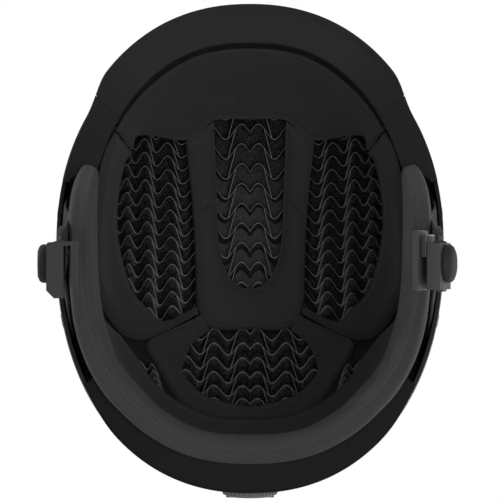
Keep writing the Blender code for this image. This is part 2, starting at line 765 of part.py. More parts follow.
def fit_band(side, name):
    """Rack and wing of the fit band: its toothed edge faces the pinion; the wing lies along the foam."""
    pitch = math.pi * MODULE
    upper = side > 0
    edge = DIAL_Z + (PITCH_RADIUS if upper else -PITCH_RADIUS)
    out = 1 if upper else -1
    tip, root, back = edge - out * 0.50 * MM, edge + out * 0.85 * MM, edge + out * 6.5 * MM
    stations = [(-9.6 * MM, root, back)]
    for tooth in range(-4, 4):
        middle = (tooth + 0.5) * pitch
        stations += [(middle - 0.62 * MM, root, back), (middle - 0.28 * MM, tip, back)]
        stations += [(middle + 0.28 * MM, tip, back), (middle + 0.62 * MM, root, back)]
    stations += [(x * MM, root, back) for x in (12, 18, 24)]
    for k in range(9):
        x = (28 + 30 * k / 8) * MM
        widen = ease((x - 26 * MM) / (12 * MM)) * (1 - 0.35 * ease((x - 50 * MM) / (8 * MM)))
        stations.append((x, root - out * 8.0 * MM * widen, back + out * 2.0 * MM * widen))
    rings = []
    for x, near, far in stations:
        ring = []
        for off, z in ((-0.5, near), (-0.5, far), (0.5, far), (0.5, near)):
            ring.append(band_point(side * x, z, off * RACK_THICK))
        rings.append(ring)
    return loft(name, rings, FITTING_BLACK)


REARWARDS = Matrix(((1, 0, 0, 0), (0, 0, 1, 0), (0, 1, 0, DIAL_Z), (0, 0, 0, 1)))
SCREW_X = 14 * MM


def dial_housing():
    """Arched block in the foam's notch that carries the dial's shaft, with a round boss under the dial."""
    radius = NOTCH_RADIUS - 1 * MM - 0.4 * MM
    drop = 15 * MM - DIAL_Z
    outline = arc(0, 0, radius, 0, 180, 10) + [(-radius, drop), (radius, drop)]
    made = plate("dial_housing", outline, 124.2 * MM, 131 * MM, FITTING_BLACK, REARWARDS)
    boss = [(13.5 * MM, 130 * MM), (13.5 * MM, 135 * MM), (12.5 * MM, 136 * MM)]
    cut(made, turned("join_boss", boss, REARWARDS, FITTING_BLACK, 18), "UNION")
    cut(made, turned("cut_bore", [(2.9 * MM, 0.11), (2.9 * MM, 0.15)], REARWARDS, FITTING_BLACK, 16))
    for side in (-1, 1):
        place = Matrix.Translation((side * SCREW_X, 0, 0)) @ REARWARDS
        cut(made, turned(f"cut_thread_{side}", [(1.6 * MM, 0.12), (1.6 * MM, 0.1295)], place, STEEL, 8))
    return made


def housing_cover():
    """Cover plate on the inner side of the racks, with two spacers that hold it off the housing."""
    outline = rounded_box(-20 * MM, 20 * MM, -12 * MM, 12 * MM, 4 * MM, 2)
    made = plate("housing_cover", outline, 119.6 * MM, 121.1 * MM, FITTING_BLACK, REARWARDS)
    for side in (-1, 1):
        place = Matrix.Translation((side * SCREW_X, 0, 0)) @ REARWARDS
        spacer = [(2.4 * MM, 120.5 * MM), (2.4 * MM, 123.9 * MM)]
        cut(made, turned(f"join_spacer_{side}", spacer, place, FITTING_BLACK, 10), "UNION")
        sink = [(3.4 * MM, 0.118), (3.4 * MM, 119.7 * MM), (1.6 * MM, 121.3 * MM), (1.6 * MM, 0.126)]
        cut(made, turned(f"cut_sink_{side}", sink, place, STEEL, 10))
    cut(made, turned("cut_journal", [(1.9 * MM, 0.118), (1.9 * MM, 0.123)], REARWARDS, FITTING_BLACK, 12))
    return made


def housing_screw(side, name):
    """Countersunk screw that holds the cover to the housing."""
    place = Matrix.Translation((side * SCREW_X, 0, 0)) @ REARWARDS
    profile = [(2.7 * MM, 119.7 * MM), (2.7 * MM, 119.9 * MM), (1.3 * MM, 121.3 * MM), (1.3 * MM, 129 * MM)]
    return turned(name, profile, place, STEEL, 10)


def fit_dial():
    """Turning knob with a scalloped grip and a dished face."""
    count = 2 * DIAL_GRIPS
    rings = []
    profile = [(0.94, DIAL_BACK_Y), (1.0, DIAL_BACK_Y + 1.0 * MM), (1.0, DIAL_FACE_Y - 2.2 * MM)]
    profile += [(0.90, DIAL_FACE_Y - 0.3 * MM), (0.84, DIAL_FACE_Y), (0.72, DIAL_FACE_Y - 0.9 * MM)]
    for share, height in profile:
        ring = []
        for k in range(count):
            turn = 2 * math.pi * k / count
            grip = 0.7 * MM if k % 2 and share > 0.93 else 0.0
            radius = DIAL_RADIUS * share - grip
            ring.append(REARWARDS @ Vector((radius * math.cos(turn), radius * math.sin(turn), height)))
        rings.append(ring)
    made = loft("fit_dial", rings, DIAL_GREY)
    seat = [(2.9 * MM, 0.13), (2.9 * MM, 142.0 * MM), (5.0 * MM, 142.0 * MM), (5.0 * MM, 0.15)]
    return cut(made, turned("cut_seat", seat, REARWARDS, DIAL_GREY, 16))


def dial_pinion():
    """Eight-toothed pinion on the dial's shaft, with a journal in the cover plate."""
    outline = []
    for tooth in range(PINION_TEETH):
        middle = 360 * tooth / PINION_TEETH + 90
        for radius, half in ((2.15, 17.0), (3.0, 8.2), (3.5, 4.0)):
            outline.append((radius * MM, middle - half))
        for radius, half in ((3.5, 4.0), (3.0, 8.2), (2.15, 17.0)):
            outline.append((radius * MM, middle + half))
    flat = [(r * math.cos(math.radians(t)), r * math.sin(math.radians(t))) for r, t in outline]
    made = plate("dial_pinion", flat, 121.5 * MM, 123.8 * MM, FITTING_BLACK, REARWARDS)
    shaft = [(2.5 * MM, 123.5 * MM), (2.5 * MM, 141.6 * MM)]
    cut(made, turned("join_shaft", shaft, REARWARDS, FITTING_BLACK, 12), "UNION")
    journal = [(1.5 * MM, 119.8 * MM), (1.5 * MM, 121.9 * MM)]
    cut(made, turned("join_journal", journal, REARWARDS, FITTING_BLACK, 12), "UNION")
    return cut(made, turned("cut_tapped", [(1.5 * MM, 134 * MM), (1.5 * MM, 0.15)], REARWARDS, STEEL, 12))


def dial_screw():
    """Flat-headed screw that clamps the knob to its shaft."""
    shank, head, head_y = 1.2 * MM, 4.5 * MM, 142.3 * MM
    profile = [(shank, 134.5 * MM), (shank, head_y), (head, head_y)]
    profile += [(head, head_y + 0.9 * MM), (0.75 * head, head_y + 1.4 * MM)]
    return turned("dial_screw", profile, REARWARDS, FITTING_BLACK, 14)


# Straps and buckle

def strap_rivet(name, place, out):
    """Two-headed rivet: a head sunk flush in the shell, a shank through the webbing and a washer inside."""
    shank, washer, seat = 2.1 * MM, 4.6 * MM, -SHELL_WALL - 3.4 * MM
    profile = [(washer, seat - 1.4 * MM), (washer, seat), (shank, seat), (shank, -1.9 * MM)]
    profile += [(RIVET_HEAD, 0.0), (0.7 * RIVET_HEAD, 0.3 * MM)]
    return turned(name, profile, axis_frame(place, out), FITTING_BLACK, 10)


def ribbon(name, stations, thick, finish):
    """Webbing along stations of (middle, width vector): a thin rectangle swept without twist."""
    rings = []
    for i, (middle, width) in enumerate(stations):
        ahead = stations[min(i + 1, len(stations) - 1)][0] - stations[max(i - 1, 0)][0]
        face = ahead.cross(width).normalized() * thick / 2
        half = width / 2
        rings.append([middle - half - face, middle + half - face, middle + half + face, middle - half + face])
    return loft(name, rings, finish)


def strap_leg(side, name, place, out, layer):
    """One leg of the chin strap's yoke, from its rivet inside the shell down to the yoke's point."""
    foot = Vector((side * (STRAP_PIVOT.x + layer), STRAP_PIVOT.y, STRAP_PIVOT.z + 1.0 * MM))
    top = place - out * (SHELL_WALL + 2.2 * MM)
    down = (foot - top).normalized()
    down = (down - out * down.dot(out)).normalized()
    width = out.cross(down).normalized()
    width = width if width.y > 0 else -width
    straight = Vector((0, 1, 0))
    stations = [(top - down * 6.5 * MM, width * WEB_WIDTH), (top, width * WEB_WIDTH)]
    leave = top + down * 13 * MM
    stations.append((leave, width * WEB_WIDTH))
    for k in range(1, 7):
        share = k / 6
        lean = (width * (1 - ease(share)) + straight * ease(share)).normalized()
        middle = leave.lerp(foot, share)
        middle.x = leave.x + (foot.x - leave.x) * ease(1.9 * share)
        stations.append((middle, lean * WEB_WIDTH))
    made = ribbon(name, stations, WEB, WEBBING_GREY)
    hole = [(RIVET_HOLE, -8 * MM), (RIVET_HOLE, -SHELL_WALL)]
    return cut(made, turned(f"cut_{name}", hole, axis_frame(place, out), WEBBING_GREY, 10))


def chin_strap(side, name):
    """Lower webbing: hangs from the yoke, runs round the buckle's bar and back up to its sewn end."""
    loop = 3.3 * MM
    rise = STRAP_PIVOT.z - BAR.z - 0.7 * MM
    path = [(-0.4 * MM, rise), (-0.5 * MM, rise * 0.75), (-1.9 * MM, rise * 0.4), (-loop, 2.5 * MM)]
    path += arc(0, 0, loop, 180, 360, 6)
    path += [(loop, 2.5 * MM), (2.2 * MM, 9 * MM), (1.2 * MM, 16 * MM)]
    stations = []
    for inwards, up in path:
        lean = (STRAP_PIVOT.y - BAR.y) * max(0.0, up) / rise
        middle = Vector((side * (BAR.x - inwards), BAR.y + lean, BAR.z + up))
        stations.append((middle, Vector((0, 1, 0)) * WEB_WIDTH))
    return ribbon(name, stations, 1.3 * MM, WEBBING_GREY)


def strap_keeper(side, name):
    """Elastic band that holds the strap's doubled end together."""
    place = Matrix.Translation((side * BAR.x, BAR.y - 4.7 * MM, BAR.z))
    outer = rounded_box(-4.6 * MM, 4.6 * MM, -10.3 * MM, 10.3 * MM, 1.2 * MM)
    inner = rounded_box(-3.7 * MM, 3.7 * MM, -9.5 * MM, 9.5 * MM, 0.6 * MM)
    made = plate(name, outer, 9.5 * MM, 14.5 * MM, WEBBING_GREY, place)
    return cut(made, plate(f"cut_{name}", inner, 0, 0.03, WEBBING_GREY, place))


def buckle_frame(side):
    """Buckle frame: a inwards, b to the rear, heights up from the bar, hanging inwards by its tilt."""
    tilt = Matrix.Rotation(math.radians(side * BUCKLE_TILT[side]), 4, "Y")
    return Matrix.Translation((side * BAR.x, BAR.y, BAR.z)) @ tilt @ Matrix.Diagonal((-side, 1, 1, 1))


def add_bar(made, side, label):
    """Join the slotted frame that the webbing runs round to a buckle half."""
    place = buckle_frame(side) @ Matrix(((0, 0, 1, 0), (1, 0, 0, 0), (0, 1, 0, 0), (0, 0, 0, 1)))
    outline = rounded_box(-12.8 * MM, 12.8 * MM, -7 * MM, 1.6 * MM, 1.4 * MM)
    cut(made, plate(f"join_{label}_frame", outline, -1.6 * MM, 1.6 * MM, BUCKLE_GREY, place), "UNION")
    window = rounded_box(-9.2 * MM, 9.2 * MM, -5.2 * MM, -1.6 * MM, 0.6 * MM)
    return cut(made, plate(f"cut_{label}_slot", window, -9 * MM, 9 * MM, BUCKLE_GREY, place))


def buckle_socket():
    """Socket half: a body and a thin cheek with the tongue's channel between them, open at the rear."""
    place = buckle_frame(-1)
    outline = arc(-2.8 * MM, -11.4 * MM, 1.6 * MM, 180, 270, 2)
    outline += [(12.0 * MM, -13.6 * MM), (12.0 * MM, 9.5 * MM), (7.9 * MM, 9.5 * MM), (7.9 * MM, -11.2 * MM)]
    outline += [(4.3 * MM, -11.2 * MM), (4.3 * MM, 15.5 * MM), (-0.5 * MM, 15.5 * MM), (-4.4 * MM, 11.5 * MM)]
    made = plate("buckle_socket", outline, -37 * MM, -5 * MM, BUCKLE_GREY, place)
    add_bar(made, -1, "socket")
    step = made.modifiers.new("edges", "BEVEL")
    step.width = 0.5 * MM
    step.segments = 1
    step.angle_limit = math.radians(50)
    return made


def buckle_plug():
    """Plug half: a body with a flat tongue beside it, joined along their upper edge."""
    place = buckle_frame(1)
    across_frame = place @ Matrix(((1, 0, 0, 0), (0, 0, 1, 0), (0, 1, 0, 0), (0, 0, 0, 1)))
    profile = [(-5.2, -5), (8.6, -5), (8.6, -34), (5.4, -34)]
    profile += [(5.4, -9), (1.6, -9), (1.6, -31), (-5.2, -31)]
    profile = [(a * MM, h * MM) for a, h in profile]
    made = plate("buckle_plug", profile, -12.6 * MM, 11.4 * MM, BUCKLE_GREY, across_frame)
    tongue = rounded_box(5.45 * MM, 8.55 * MM, -19.0 * MM, 11.9 * MM, 1.0 * MM, 2)
    cut(made, plate("join_tongue", tongue, -33.9 * MM, -10 * MM, BUCKLE_GREY, place), "UNION")
    return add_bar(made, 1, "plug")


def puck_frame(side, face):
    """Frame on the outside face of a buckle half, looking outwards."""
    return buckle_frame(side) @ axis_frame((-face - GAP, -2.0 * MM, -18 * MM), (-1, 0, 0))


def puck(side, name, face):
    """Round magnet housing on the outside of a buckle half, hollow underneath for its magnet."""
    frame = puck_frame(side, face)
    profile = [(10.0 * MM, 0), (10.0 * MM, 2.2 * MM), (9.2 * MM, 3.6 * MM), (7.0 * MM, 4.6 * MM)]
    made = turned(name, profile, frame, BUCKLE_GREY, 18)
    well = [(6.4 * MM, -2 * MM), (6.4 * MM, 3.2 * MM)]
    return cut(made, turned(f"cut_{name}", well, frame, BUCKLE_GREY, 12))


def magnet(side, name, face):
    """Disc magnet inside its housing."""
    return turned(name, [(6.0 * MM, 0.1 * MM), (6.0 * MM, 2.9 * MM)], puck_frame(side, face), STEEL, 12)


def buckle_latch():
    """Sliding catch in the gap between the plug's body and its tongue."""
    outline = rounded_box(2.2 * MM, 4.8 * MM, -17.0 * MM, -5.5 * MM, 0.6 * MM, 2)
    return plate("buckle_latch", outline, -30 * MM, -9.3 * MM, BUCKLE_GREY, buckle_frame(1))


# Goggle clip

SIDEWAYS = Matrix(((0, 0, 1, 0), (1, 0, 0, 0), (0, 1, 0, 0), (0, 0, 0, 1)))


def back_line(z, off):
    """Point (y, z) off the back of the shell on the middle line."""
    share = abs((z - OUTER["z"]) / OUTER["up"]) ** OUTER["power"]
    return (OUTER["rear"] * (1 - share) ** (1 / OUTER["power"]) + off, z)


CLIP_PIN = (back_line(CLIP_PIN_Z, CLIP_PIN_OFF)[0], CLIP_PIN_Z)
PIN_FRAME = axis_frame((0, *CLIP_PIN), (1, 0, 0))
PIN_HOLE = [(1.5 * MM, -20 * MM), (1.5 * MM, 20 * MM)]


def goggle_clip_base():
    """Plate on the shell with two lugs for the lever's pin."""
    heights = [55 * MM + (CLIP_TOP_Z - 54 * MM) * k / 7 for k in range(8)]
    outline = [back_line(z, 0.5 * MM) for z in heights] + [back_line(z, 2.4 * MM) for z in reversed(heights)]
    made = plate("goggle_clip_base", outline, -14.5 * MM, 14.5 * MM, FITTING_BLACK, SIDEWAYS)
    root = back_line(CLIP_PIN_Z, 1.2 * MM)
    lug = arc(*CLIP_PIN, 2.6 * MM, -80, 80, 6)
    lug += [(root[0], root[1] + 3.6 * MM), (root[0], root[1] - 3.6 * MM)]
    for side in (-1, 1):
        low, high = sorted((side * 11.5 * MM, side * 14.3 * MM))
        cut(made, plate(f"join_lug_{side}", lug, low, high, FITTING_BLACK, SIDEWAYS), "UNION")
    return cut(made, turned("cut_lug_holes", PIN_HOLE, PIN_FRAME, FITTING_BLACK, 12))


def goggle_lever():
    """Curved lever that folds down over a goggle strap, with a knuckle on the pin and a finger lip on top."""
    start = CLIP_PIN_Z + 3.0 * MM
    heights = [start + (CLIP_TOP_Z - start) * k / 6 for k in range(7)]
    outline = arc(*CLIP_PIN, 2.6 * MM, 150, 390, 10)
    outline += [back_line(z, 8.4 * MM) for z in heights[1:]]
    outline += [back_line(CLIP_TOP_Z + 2.5 * MM, 9.5 * MM), back_line(CLIP_TOP_Z + 3.0 * MM, 7.2 * MM)]
    outline += [back_line(z, 5.6 * MM) for z in reversed(heights[1:])]
    made = plate("goggle_lever", outline, -11.0 * MM, 11.0 * MM, FITTING_BLACK, SIDEWAYS)
    return cut(made, turned("cut_knuckle", PIN_HOLE, PIN_FRAME, FITTING_BLACK, 12))


def goggle_clip_pin():
    """Steel pin through both lugs and the lever's knuckle."""
    return turned("goggle_clip_pin", [(1.15 * MM, -14.2 * MM), (1.15 * MM, 14.2 * MM)], PIN_FRAME, STEEL, 12)


# Assembly

outer_shell()
foam_liner()
for panel_name, (a, b, c, d, rows, halves, sway) in PANELS.items():
    cell_panel(panel_name, (a, b, c, d), rows, halves, sway)
brim()
rear_trim()
forehead_pad()
crown_pad()
rear_pad()
nape_pad()
neck_roll()
for sign, label in ((-1, "left"), (1, "right")):
    temple_trim(sign, f"temple_trim_{label}")
    side_pad(sign, f"side_pad_{label}")
    ear_pad(sign, f"ear_pad_{label}")
    housing_screw(sign, f"housing_screw_{label}")
    band = fit_band(sign, f"fit_band_{label}")
    hang(f"band_{label}_axis", (0, RACK_Y, DIAL_Z), [band])
    pivot = (sign * STRAP_PIVOT.x, STRAP_PIVOT.y, STRAP_PIVOT.z)
    webbing = [chin_strap(sign, f"chin_strap_{label}"), strap_keeper(sign, f"strap_keeper_{label}")]
    hang(f"strap_{label}_axis", pivot, webbing)
for sign, label, spot, outwards in rivet_spots():
    layer = -LEG_LAYER if label.endswith("front") else LEG_LAYER
    strap_rivet(f"strap_rivet_{label}", spot, outwards)
    strap_leg(sign, f"strap_{label}", spot, outwards, layer)
dial_housing()
housing_cover()
hang("dial_axis", (0, DIAL_BACK_Y, DIAL_Z), [fit_dial(), dial_pinion(), dial_screw()])
socket = [buckle_socket(), puck(-1, "socket_puck", SOCKET_FACE), magnet(-1, "socket_magnet", SOCKET_FACE)]
plug = [buckle_plug(), puck(1, "plug_puck", PLUG_FACE), magnet(1, "plug_magnet", PLUG_FACE)]
hang("socket_axis", (-BAR.x, BAR.y, BAR.z), socket)
hang("plug_axis", BAR, plug)
hang("latch_axis", BAR, [buckle_latch()])
goggle_clip_base()
goggle_clip_pin()
hang("goggle_lever_axis", (0, *CLIP_PIN), [goggle_lever()])
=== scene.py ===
"""Looks of a brimmed ski helmet: finishes, cell inserts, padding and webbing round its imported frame."""
import math

import bmesh
import bpy
import numpy as np
from mathutils import Matrix, Vector


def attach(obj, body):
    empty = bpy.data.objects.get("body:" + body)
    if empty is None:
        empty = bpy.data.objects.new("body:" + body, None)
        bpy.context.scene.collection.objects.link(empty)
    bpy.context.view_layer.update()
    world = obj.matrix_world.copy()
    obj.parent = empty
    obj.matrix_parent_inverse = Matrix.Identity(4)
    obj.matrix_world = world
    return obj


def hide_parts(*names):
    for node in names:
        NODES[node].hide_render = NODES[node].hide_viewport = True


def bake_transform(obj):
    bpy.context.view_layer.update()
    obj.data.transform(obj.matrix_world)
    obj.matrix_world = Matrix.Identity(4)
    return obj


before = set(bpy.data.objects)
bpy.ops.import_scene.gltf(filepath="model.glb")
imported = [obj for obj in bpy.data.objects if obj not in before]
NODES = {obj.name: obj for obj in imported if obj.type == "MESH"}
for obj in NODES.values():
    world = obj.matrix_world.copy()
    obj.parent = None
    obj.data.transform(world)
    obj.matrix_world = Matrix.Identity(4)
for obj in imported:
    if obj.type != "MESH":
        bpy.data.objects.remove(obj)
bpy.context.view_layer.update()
MM = 0.001

# Camera, light and floor.
# The photograph looks straight up into the helmet, with the brim at the top of the picture.
# The floor lies far below the camera, so that it never comes between the camera and the helmet.
CAMERA_DROP = 1.1
FIELD = 0.285
FLOOR_Z = -2.6
stage_scene = bpy.context.scene
stage_scene.view_settings.view_transform = "Standard"
lens = bpy.data.cameras.new("camera")
lens.sensor_width = 36.0
lens.lens = lens.sensor_width * CAMERA_DROP / FIELD
camera = bpy.data.objects.new("camera", lens)
camera.location = (0, 0, -CAMERA_DROP)
camera.rotation_euler = (math.pi, 0, 0)
stage_scene.collection.objects.link(camera)
stage_scene.camera = camera


def soft_light(name, place, aim, size, power):
    """Square area light that looks at a point and is not seen by the camera."""
    lamp = bpy.data.lights.new(name, "AREA")
    lamp.size = size
    lamp.energy = power
    made = bpy.data.objects.new(name, lamp)
    made.location = place
    made.rotation_euler = (Vector(aim) - Vector(place)).to_track_quat("-Z", "Y").to_euler()
    made.visible_camera = False
    stage_scene.collection.objects.link(made)


HEAD_MIDDLE = (0, 0, 0.06)
soft_light("light_below", (0.34, 0.15, -1.65), HEAD_MIDDLE, 1.4, 20)
soft_light("light_left", (-1.5, -0.9, 0.5), HEAD_MIDDLE, 1.2, 17)
soft_light("light_right", (1.5, 0.9, 0.9), HEAD_MIDDLE, 1.2, 17)
soft_light("light_top", (0.2, -0.4, 2.0), HEAD_MIDDLE, 1.6, 22)


def put(tree, kind, values=(), **settings):
    """Add a node, set its properties, and set or link its inputs, given as (socket, value or output)."""
    made = tree.nodes.new(kind)
    for key, value in settings.items():
        setattr(made, key, value)
    for spot, value in values:
        if isinstance(value, bpy.types.NodeSocket):
            tree.links.new(value, made.inputs[spot])
        else:
            made.inputs[spot].default_value = value
    return made


def maths(tree, operation, *values):
    """Output of a math node."""
    return put(tree, "ShaderNodeMath", list(enumerate(values)), operation=operation).outputs[0]


# White where it is seen directly or in a reflection, and dimmer as a light
WHITE, FILL = (1, 1, 1, 1), 0.44
world = bpy.data.worlds.new("studio")
world.use_nodes = True
stage_scene.world = world
sky = world.node_tree
sky.nodes.clear()
white = put(sky, "ShaderNodeBackground", [("Color", WHITE)])
fill = put(sky, "ShaderNodeBackground", [("Color", WHITE), ("Strength", FILL)])
ray = put(sky, "ShaderNodeLightPath").outputs
straight = maths(sky, "MAXIMUM", ray["Is Camera Ray"], ray["Is Glossy Ray"])
straight = maths(sky, "MAXIMUM", straight, ray["Is Transmission Ray"])
backdrop = put(sky, "ShaderNodeMixShader", [(0, straight), (1, fill.outputs[0]), (2, white.outputs[0])])
put(sky, "ShaderNodeOutputWorld", [("Surface", backdrop.outputs[0])])

FLOOR_HALF = 9.0
floor_mesh = bpy.data.meshes.new("floor")
corners = [(x * FLOOR_HALF, y * FLOOR_HALF, FLOOR_Z) for x, y in ((-1, -1), (1, -1), (1, 1), (-1, 1))]
floor_mesh.from_pydata(corners, [], [(0, 1, 2, 3)])
floor = bpy.data.objects.new("floor", floor_mesh)
stage_scene.collection.objects.link(floor)
floor_paint = bpy.data.materials.new("pale_floor")
floor_paint.use_nodes = True
floor_look = floor_paint.node_tree.nodes["Principled BSDF"].inputs
floor_look["Base Color"].default_value = (0.86, 0.86, 0.86, 1)
floor_look["Roughness"].default_value = 0.9
floor_mesh.materials.append(floor_paint)

# Outer shell: a moulded dome of matt black plastic, about 2 mm thick, bonded to the foam.
# It is cut through by six vents and by an arched notch for the fit dial.

# The outside of the shell and the faces of the pads: half sizes from a middle at height z
DOME_OUT = dict(z=45 * MM, side=113.5 * MM, front=136 * MM, rear=142 * MM, up=120 * MM, down=150 * MM,
                power=2.2)
DOME_IN = dict(z=18 * MM, side=90 * MM, front=123 * MM, rear=113 * MM, up=116 * MM, down=150 * MM,
               power=2.35)
# Layers of the wall lie along lines from this point, and the liner's flat pattern is wound off it
SIGHT = np.array((0, -5, 40)) * MM
PATTERN_RADIUS = 100 * MM
SHELL_WALL = 2.2 * MM
# The rim is at this height in front, falls to zero between two azimuths, and carries covers this thick
RIM_FRONT = 47 * MM
RIM_FALL = (26, 112)
COVER, COVER_GAP = 3.0 * MM, 0.6 * MM


def ease(x):
    """Smooth step from 0 to 1."""
    x = np.clip(x, 0.0, 1.0)
    return x * x * (3 - 2 * x)


def reach(dome, aims):
    """Distances from the sight point to a dome along unit directions."""
    low, high = np.zeros(len(aims)), np.full(len(aims), 0.3)
    power = dome["power"]
    for _ in range(36):
        middle = (low + high) / 2
        here = SIGHT + aims * middle[:, None]
        spot = np.abs(here - (0, 0, dome["z"]))
        lean = np.where(here[:, 1] < 0, dome["front"], dome["rear"])
        rise = np.where(here[:, 2] > dome["z"], dome["up"], dome["down"])
        level = (spot[:, 0] / dome["side"]) ** power + (spot[:, 1] / lean) ** power
        level = level + (spot[:, 2] / rise) ** power
        low = np.where(level < 1, middle, low)
        high = np.where(level < 1, high, middle)
    return low


def polar(azimuth, tilt):
    """Directions at azimuths in degrees, from the front to the right, and tilts from the crown."""
    turn = np.radians(azimuth)
    return np.stack([np.sin(tilt) * np.sin(turn), -np.sin(tilt) * np.cos(turn), np.cos(tilt)], -1)


def aim_at(spots):
    """Directions for points of the liner's flat pattern, in millimetres right of and behind the crown."""
    spots = np.asarray(spots, float)
    away = np.maximum(np.hypot(spots[:, 0], spots[:, 1]), 1e-9)
    tilt = away * MM / PATTERN_RADIUS
    return np.stack([np.sin(tilt) * spots[:, 0] / away, np.sin(tilt) * spots[:, 1] / away, np.cos(tilt)], -1)


def in_wall(aims, depth, off=0.0):
    """Points along directions at a share of the wall, 0 outside and 1 on the pads, moved outwards by off."""
    outside, inside = reach(DOME_OUT, aims), reach(DOME_IN, aims)
    away = outside + (inside - outside) * depth + off
    return SIGHT + aims * away[:, None]


def rim_height(azimuth):
    """Height of the rim covers' underside."""
    return RIM_FRONT * ease((RIM_FALL[1] - np.abs(azimuth)) / (RIM_FALL[1] - RIM_FALL[0]))


def rim_tilt(azimuth, height, depth, off=0.0):
    """Tilts at azimuths where a layer comes down to a height."""
    azimuth = np.asarray(azimuth, float)
    low, high = np.full(len(azimuth), 0.3), np.full(len(azimuth), 2.6)
    for _ in range(26):
        middle = (low + high) / 2
        above = in_wall(polar(azimuth, middle), depth, off)[:, 2] > height
        low = np.where(above, middle, low)
        high = np.where(above, high, middle)
    return low


def mesh_piece(name, points, faces, finish, crease=40):
    """One mesh object from points and faces, doubles merged, facing out, smooth up to a crease angle."""
    mesh = bpy.data.meshes.new(name)
    mesh.from_pydata([tuple(p) for p in points], [], [tuple(int(k) for k in f) for f in faces])
    work = bmesh.new()
    work.from_mesh(mesh)
    bmesh.ops.remove_doubles(work, verts=work.verts, dist=1e-6)
    bmesh.ops.recalc_face_normals(work, faces=work.faces)
    work.to_mesh(mesh)
    work.free()
    mesh.shade_smooth()
    mesh.set_sharp_from_angle(angle=math.radians(crease))
    made = bpy.data.objects.new(name, mesh)
    if finish is not None:
        mesh.materials.append(finish)
    stage_scene.collection.objects.link(made)
    return made


def bake(made):
    """Turn an object's modifiers into its plain mesh."""
    graph = bpy.context.evaluated_depsgraph_get()
    mesh = bpy.data.meshes.new_from_object(made.evaluated_get(graph), depsgraph=graph)
    made.modifiers.clear()
    made.data = mesh
    return made


def fasten(made, body, nodes=()):
    """Put a finished piece on its body, in place of the frame's nodes."""
    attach(made, body)
    if nodes:
        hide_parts(*nodes)
    return made


def skin_faces(rows, cols, start=0, wrap=False):
    """Faces of a grid of points, row by row."""
    faces = []
    for i in range(rows if wrap else rows - 1):
        here, there = start + i * cols, start + (i + 1) % rows * cols
        faces += [(here + j, there + j, there + j + 1, here + j + 1) for j in range(cols - 1)]
    return faces


def loft(name, rings, finish, closed=False, crease=40):
    """Join rings of equal point counts; the ends are filled, or meet when closed."""
    rings = np.asarray(rings)
    count, around = rings.shape[:2]
    faces = []
    for i in range(count if closed else count - 1):
        a, b = i * around, ((i + 1) % count) * around
        faces += [(a + k, a + (k + 1) % around, b + (k + 1) % around, b + k) for k in range(around)]
    if not closed:
        faces += [tuple(range(around)), tuple(range((count - 1) * around, count * around))]
    return mesh_piece(name, rings.reshape(-1, 3), faces, finish, crease)


def carve(made, cutter, operation="DIFFERENCE"):
    """Cut a piece with a shape, which is then removed."""
    step = made.modifiers.new("carve", "BOOLEAN")
    step.operation = operation
    step.object = cutter
    step.solver = "EXACT"
    bake(made)
    bpy.data.objects.remove(cutter)
    return made


def new_group(name, inputs, outputs):
    """Shader node group with named sockets, and its two ends."""
    tree = bpy.data.node_groups.new(name, "ShaderNodeTree")
    for label, kind, value in inputs:
        made = tree.interface.new_socket(label, in_out="INPUT", socket_type=kind)
        made.default_value = value
    for label, kind in outputs:
        tree.interface.new_socket(label, in_out="OUTPUT", socket_type=kind)
    return tree, tree.nodes.new("NodeGroupInput"), tree.nodes.new("NodeGroupOutput")


# Moulded grain: fine bumps and a slow drift of tone, shared by all moulded plastics
grain, ins, outs = new_group(
    "moulded_grain",
    [("Colour", "NodeSocketColor", (0.02, 0.02, 0.02, 1)), ("Grain Scale", "NodeSocketFloat", 1400.0),
     ("Drift", "NodeSocketFloat", 0.12), ("Roughness", "NodeSocketFloat", 0.5),
     ("Spread", "NodeSocketFloat", 0.08)],
    [("Colour", "NodeSocketColor"), ("Roughness", "NodeSocketFloat"), ("Height", "NodeSocketFloat")],
)
place = put(grain, "ShaderNodeTexCoord").outputs["Object"]
fine = put(grain, "ShaderNodeTexNoise",
           [("Vector", place), ("Scale", ins.outputs["Grain Scale"]), ("Detail", 2.0)])
slow = put(grain, "ShaderNodeTexNoise", [("Vector", place), ("Scale", 26.0), ("Detail", 3.0)])
centred = maths(grain, "SUBTRACT", slow.outputs["Fac"], 0.5)
tone = maths(grain, "ADD", 1.0, maths(grain, "MULTIPLY", centred, ins.outputs["Drift"]))
tinted = put(grain, "ShaderNodeVectorMath", [(0, ins.outputs["Colour"]), ("Scale", tone)], operation="SCALE")
rough = maths(grain, "ADD", ins.outputs["Roughness"],
              maths(grain, "MULTIPLY", centred, ins.outputs["Spread"]))
grain.links.new(tinted.outputs[0], outs.inputs["Colour"])
grain.links.new(rough, outs.inputs["Roughness"])
grain.links.new(fine.outputs["Fac"], outs.inputs["Height"])


def new_finish(name):
    """A material with nodes: the material, its tree and its Principled shader."""
    made = bpy.data.materials.new(name)
    made.use_nodes = True
    return made, made.node_tree, made.node_tree.nodes["Principled BSDF"]


RELIEF = 0.3 * MM


def emboss(tree, shader, height, strength):
    """Bump a shader's surface by a height."""
    relief = put(tree, "ShaderNodeBump", [("Height", height), ("Strength", strength), ("Distance", RELIEF)])
    tree.links.new(relief.outputs["Normal"], shader.inputs["Normal"])


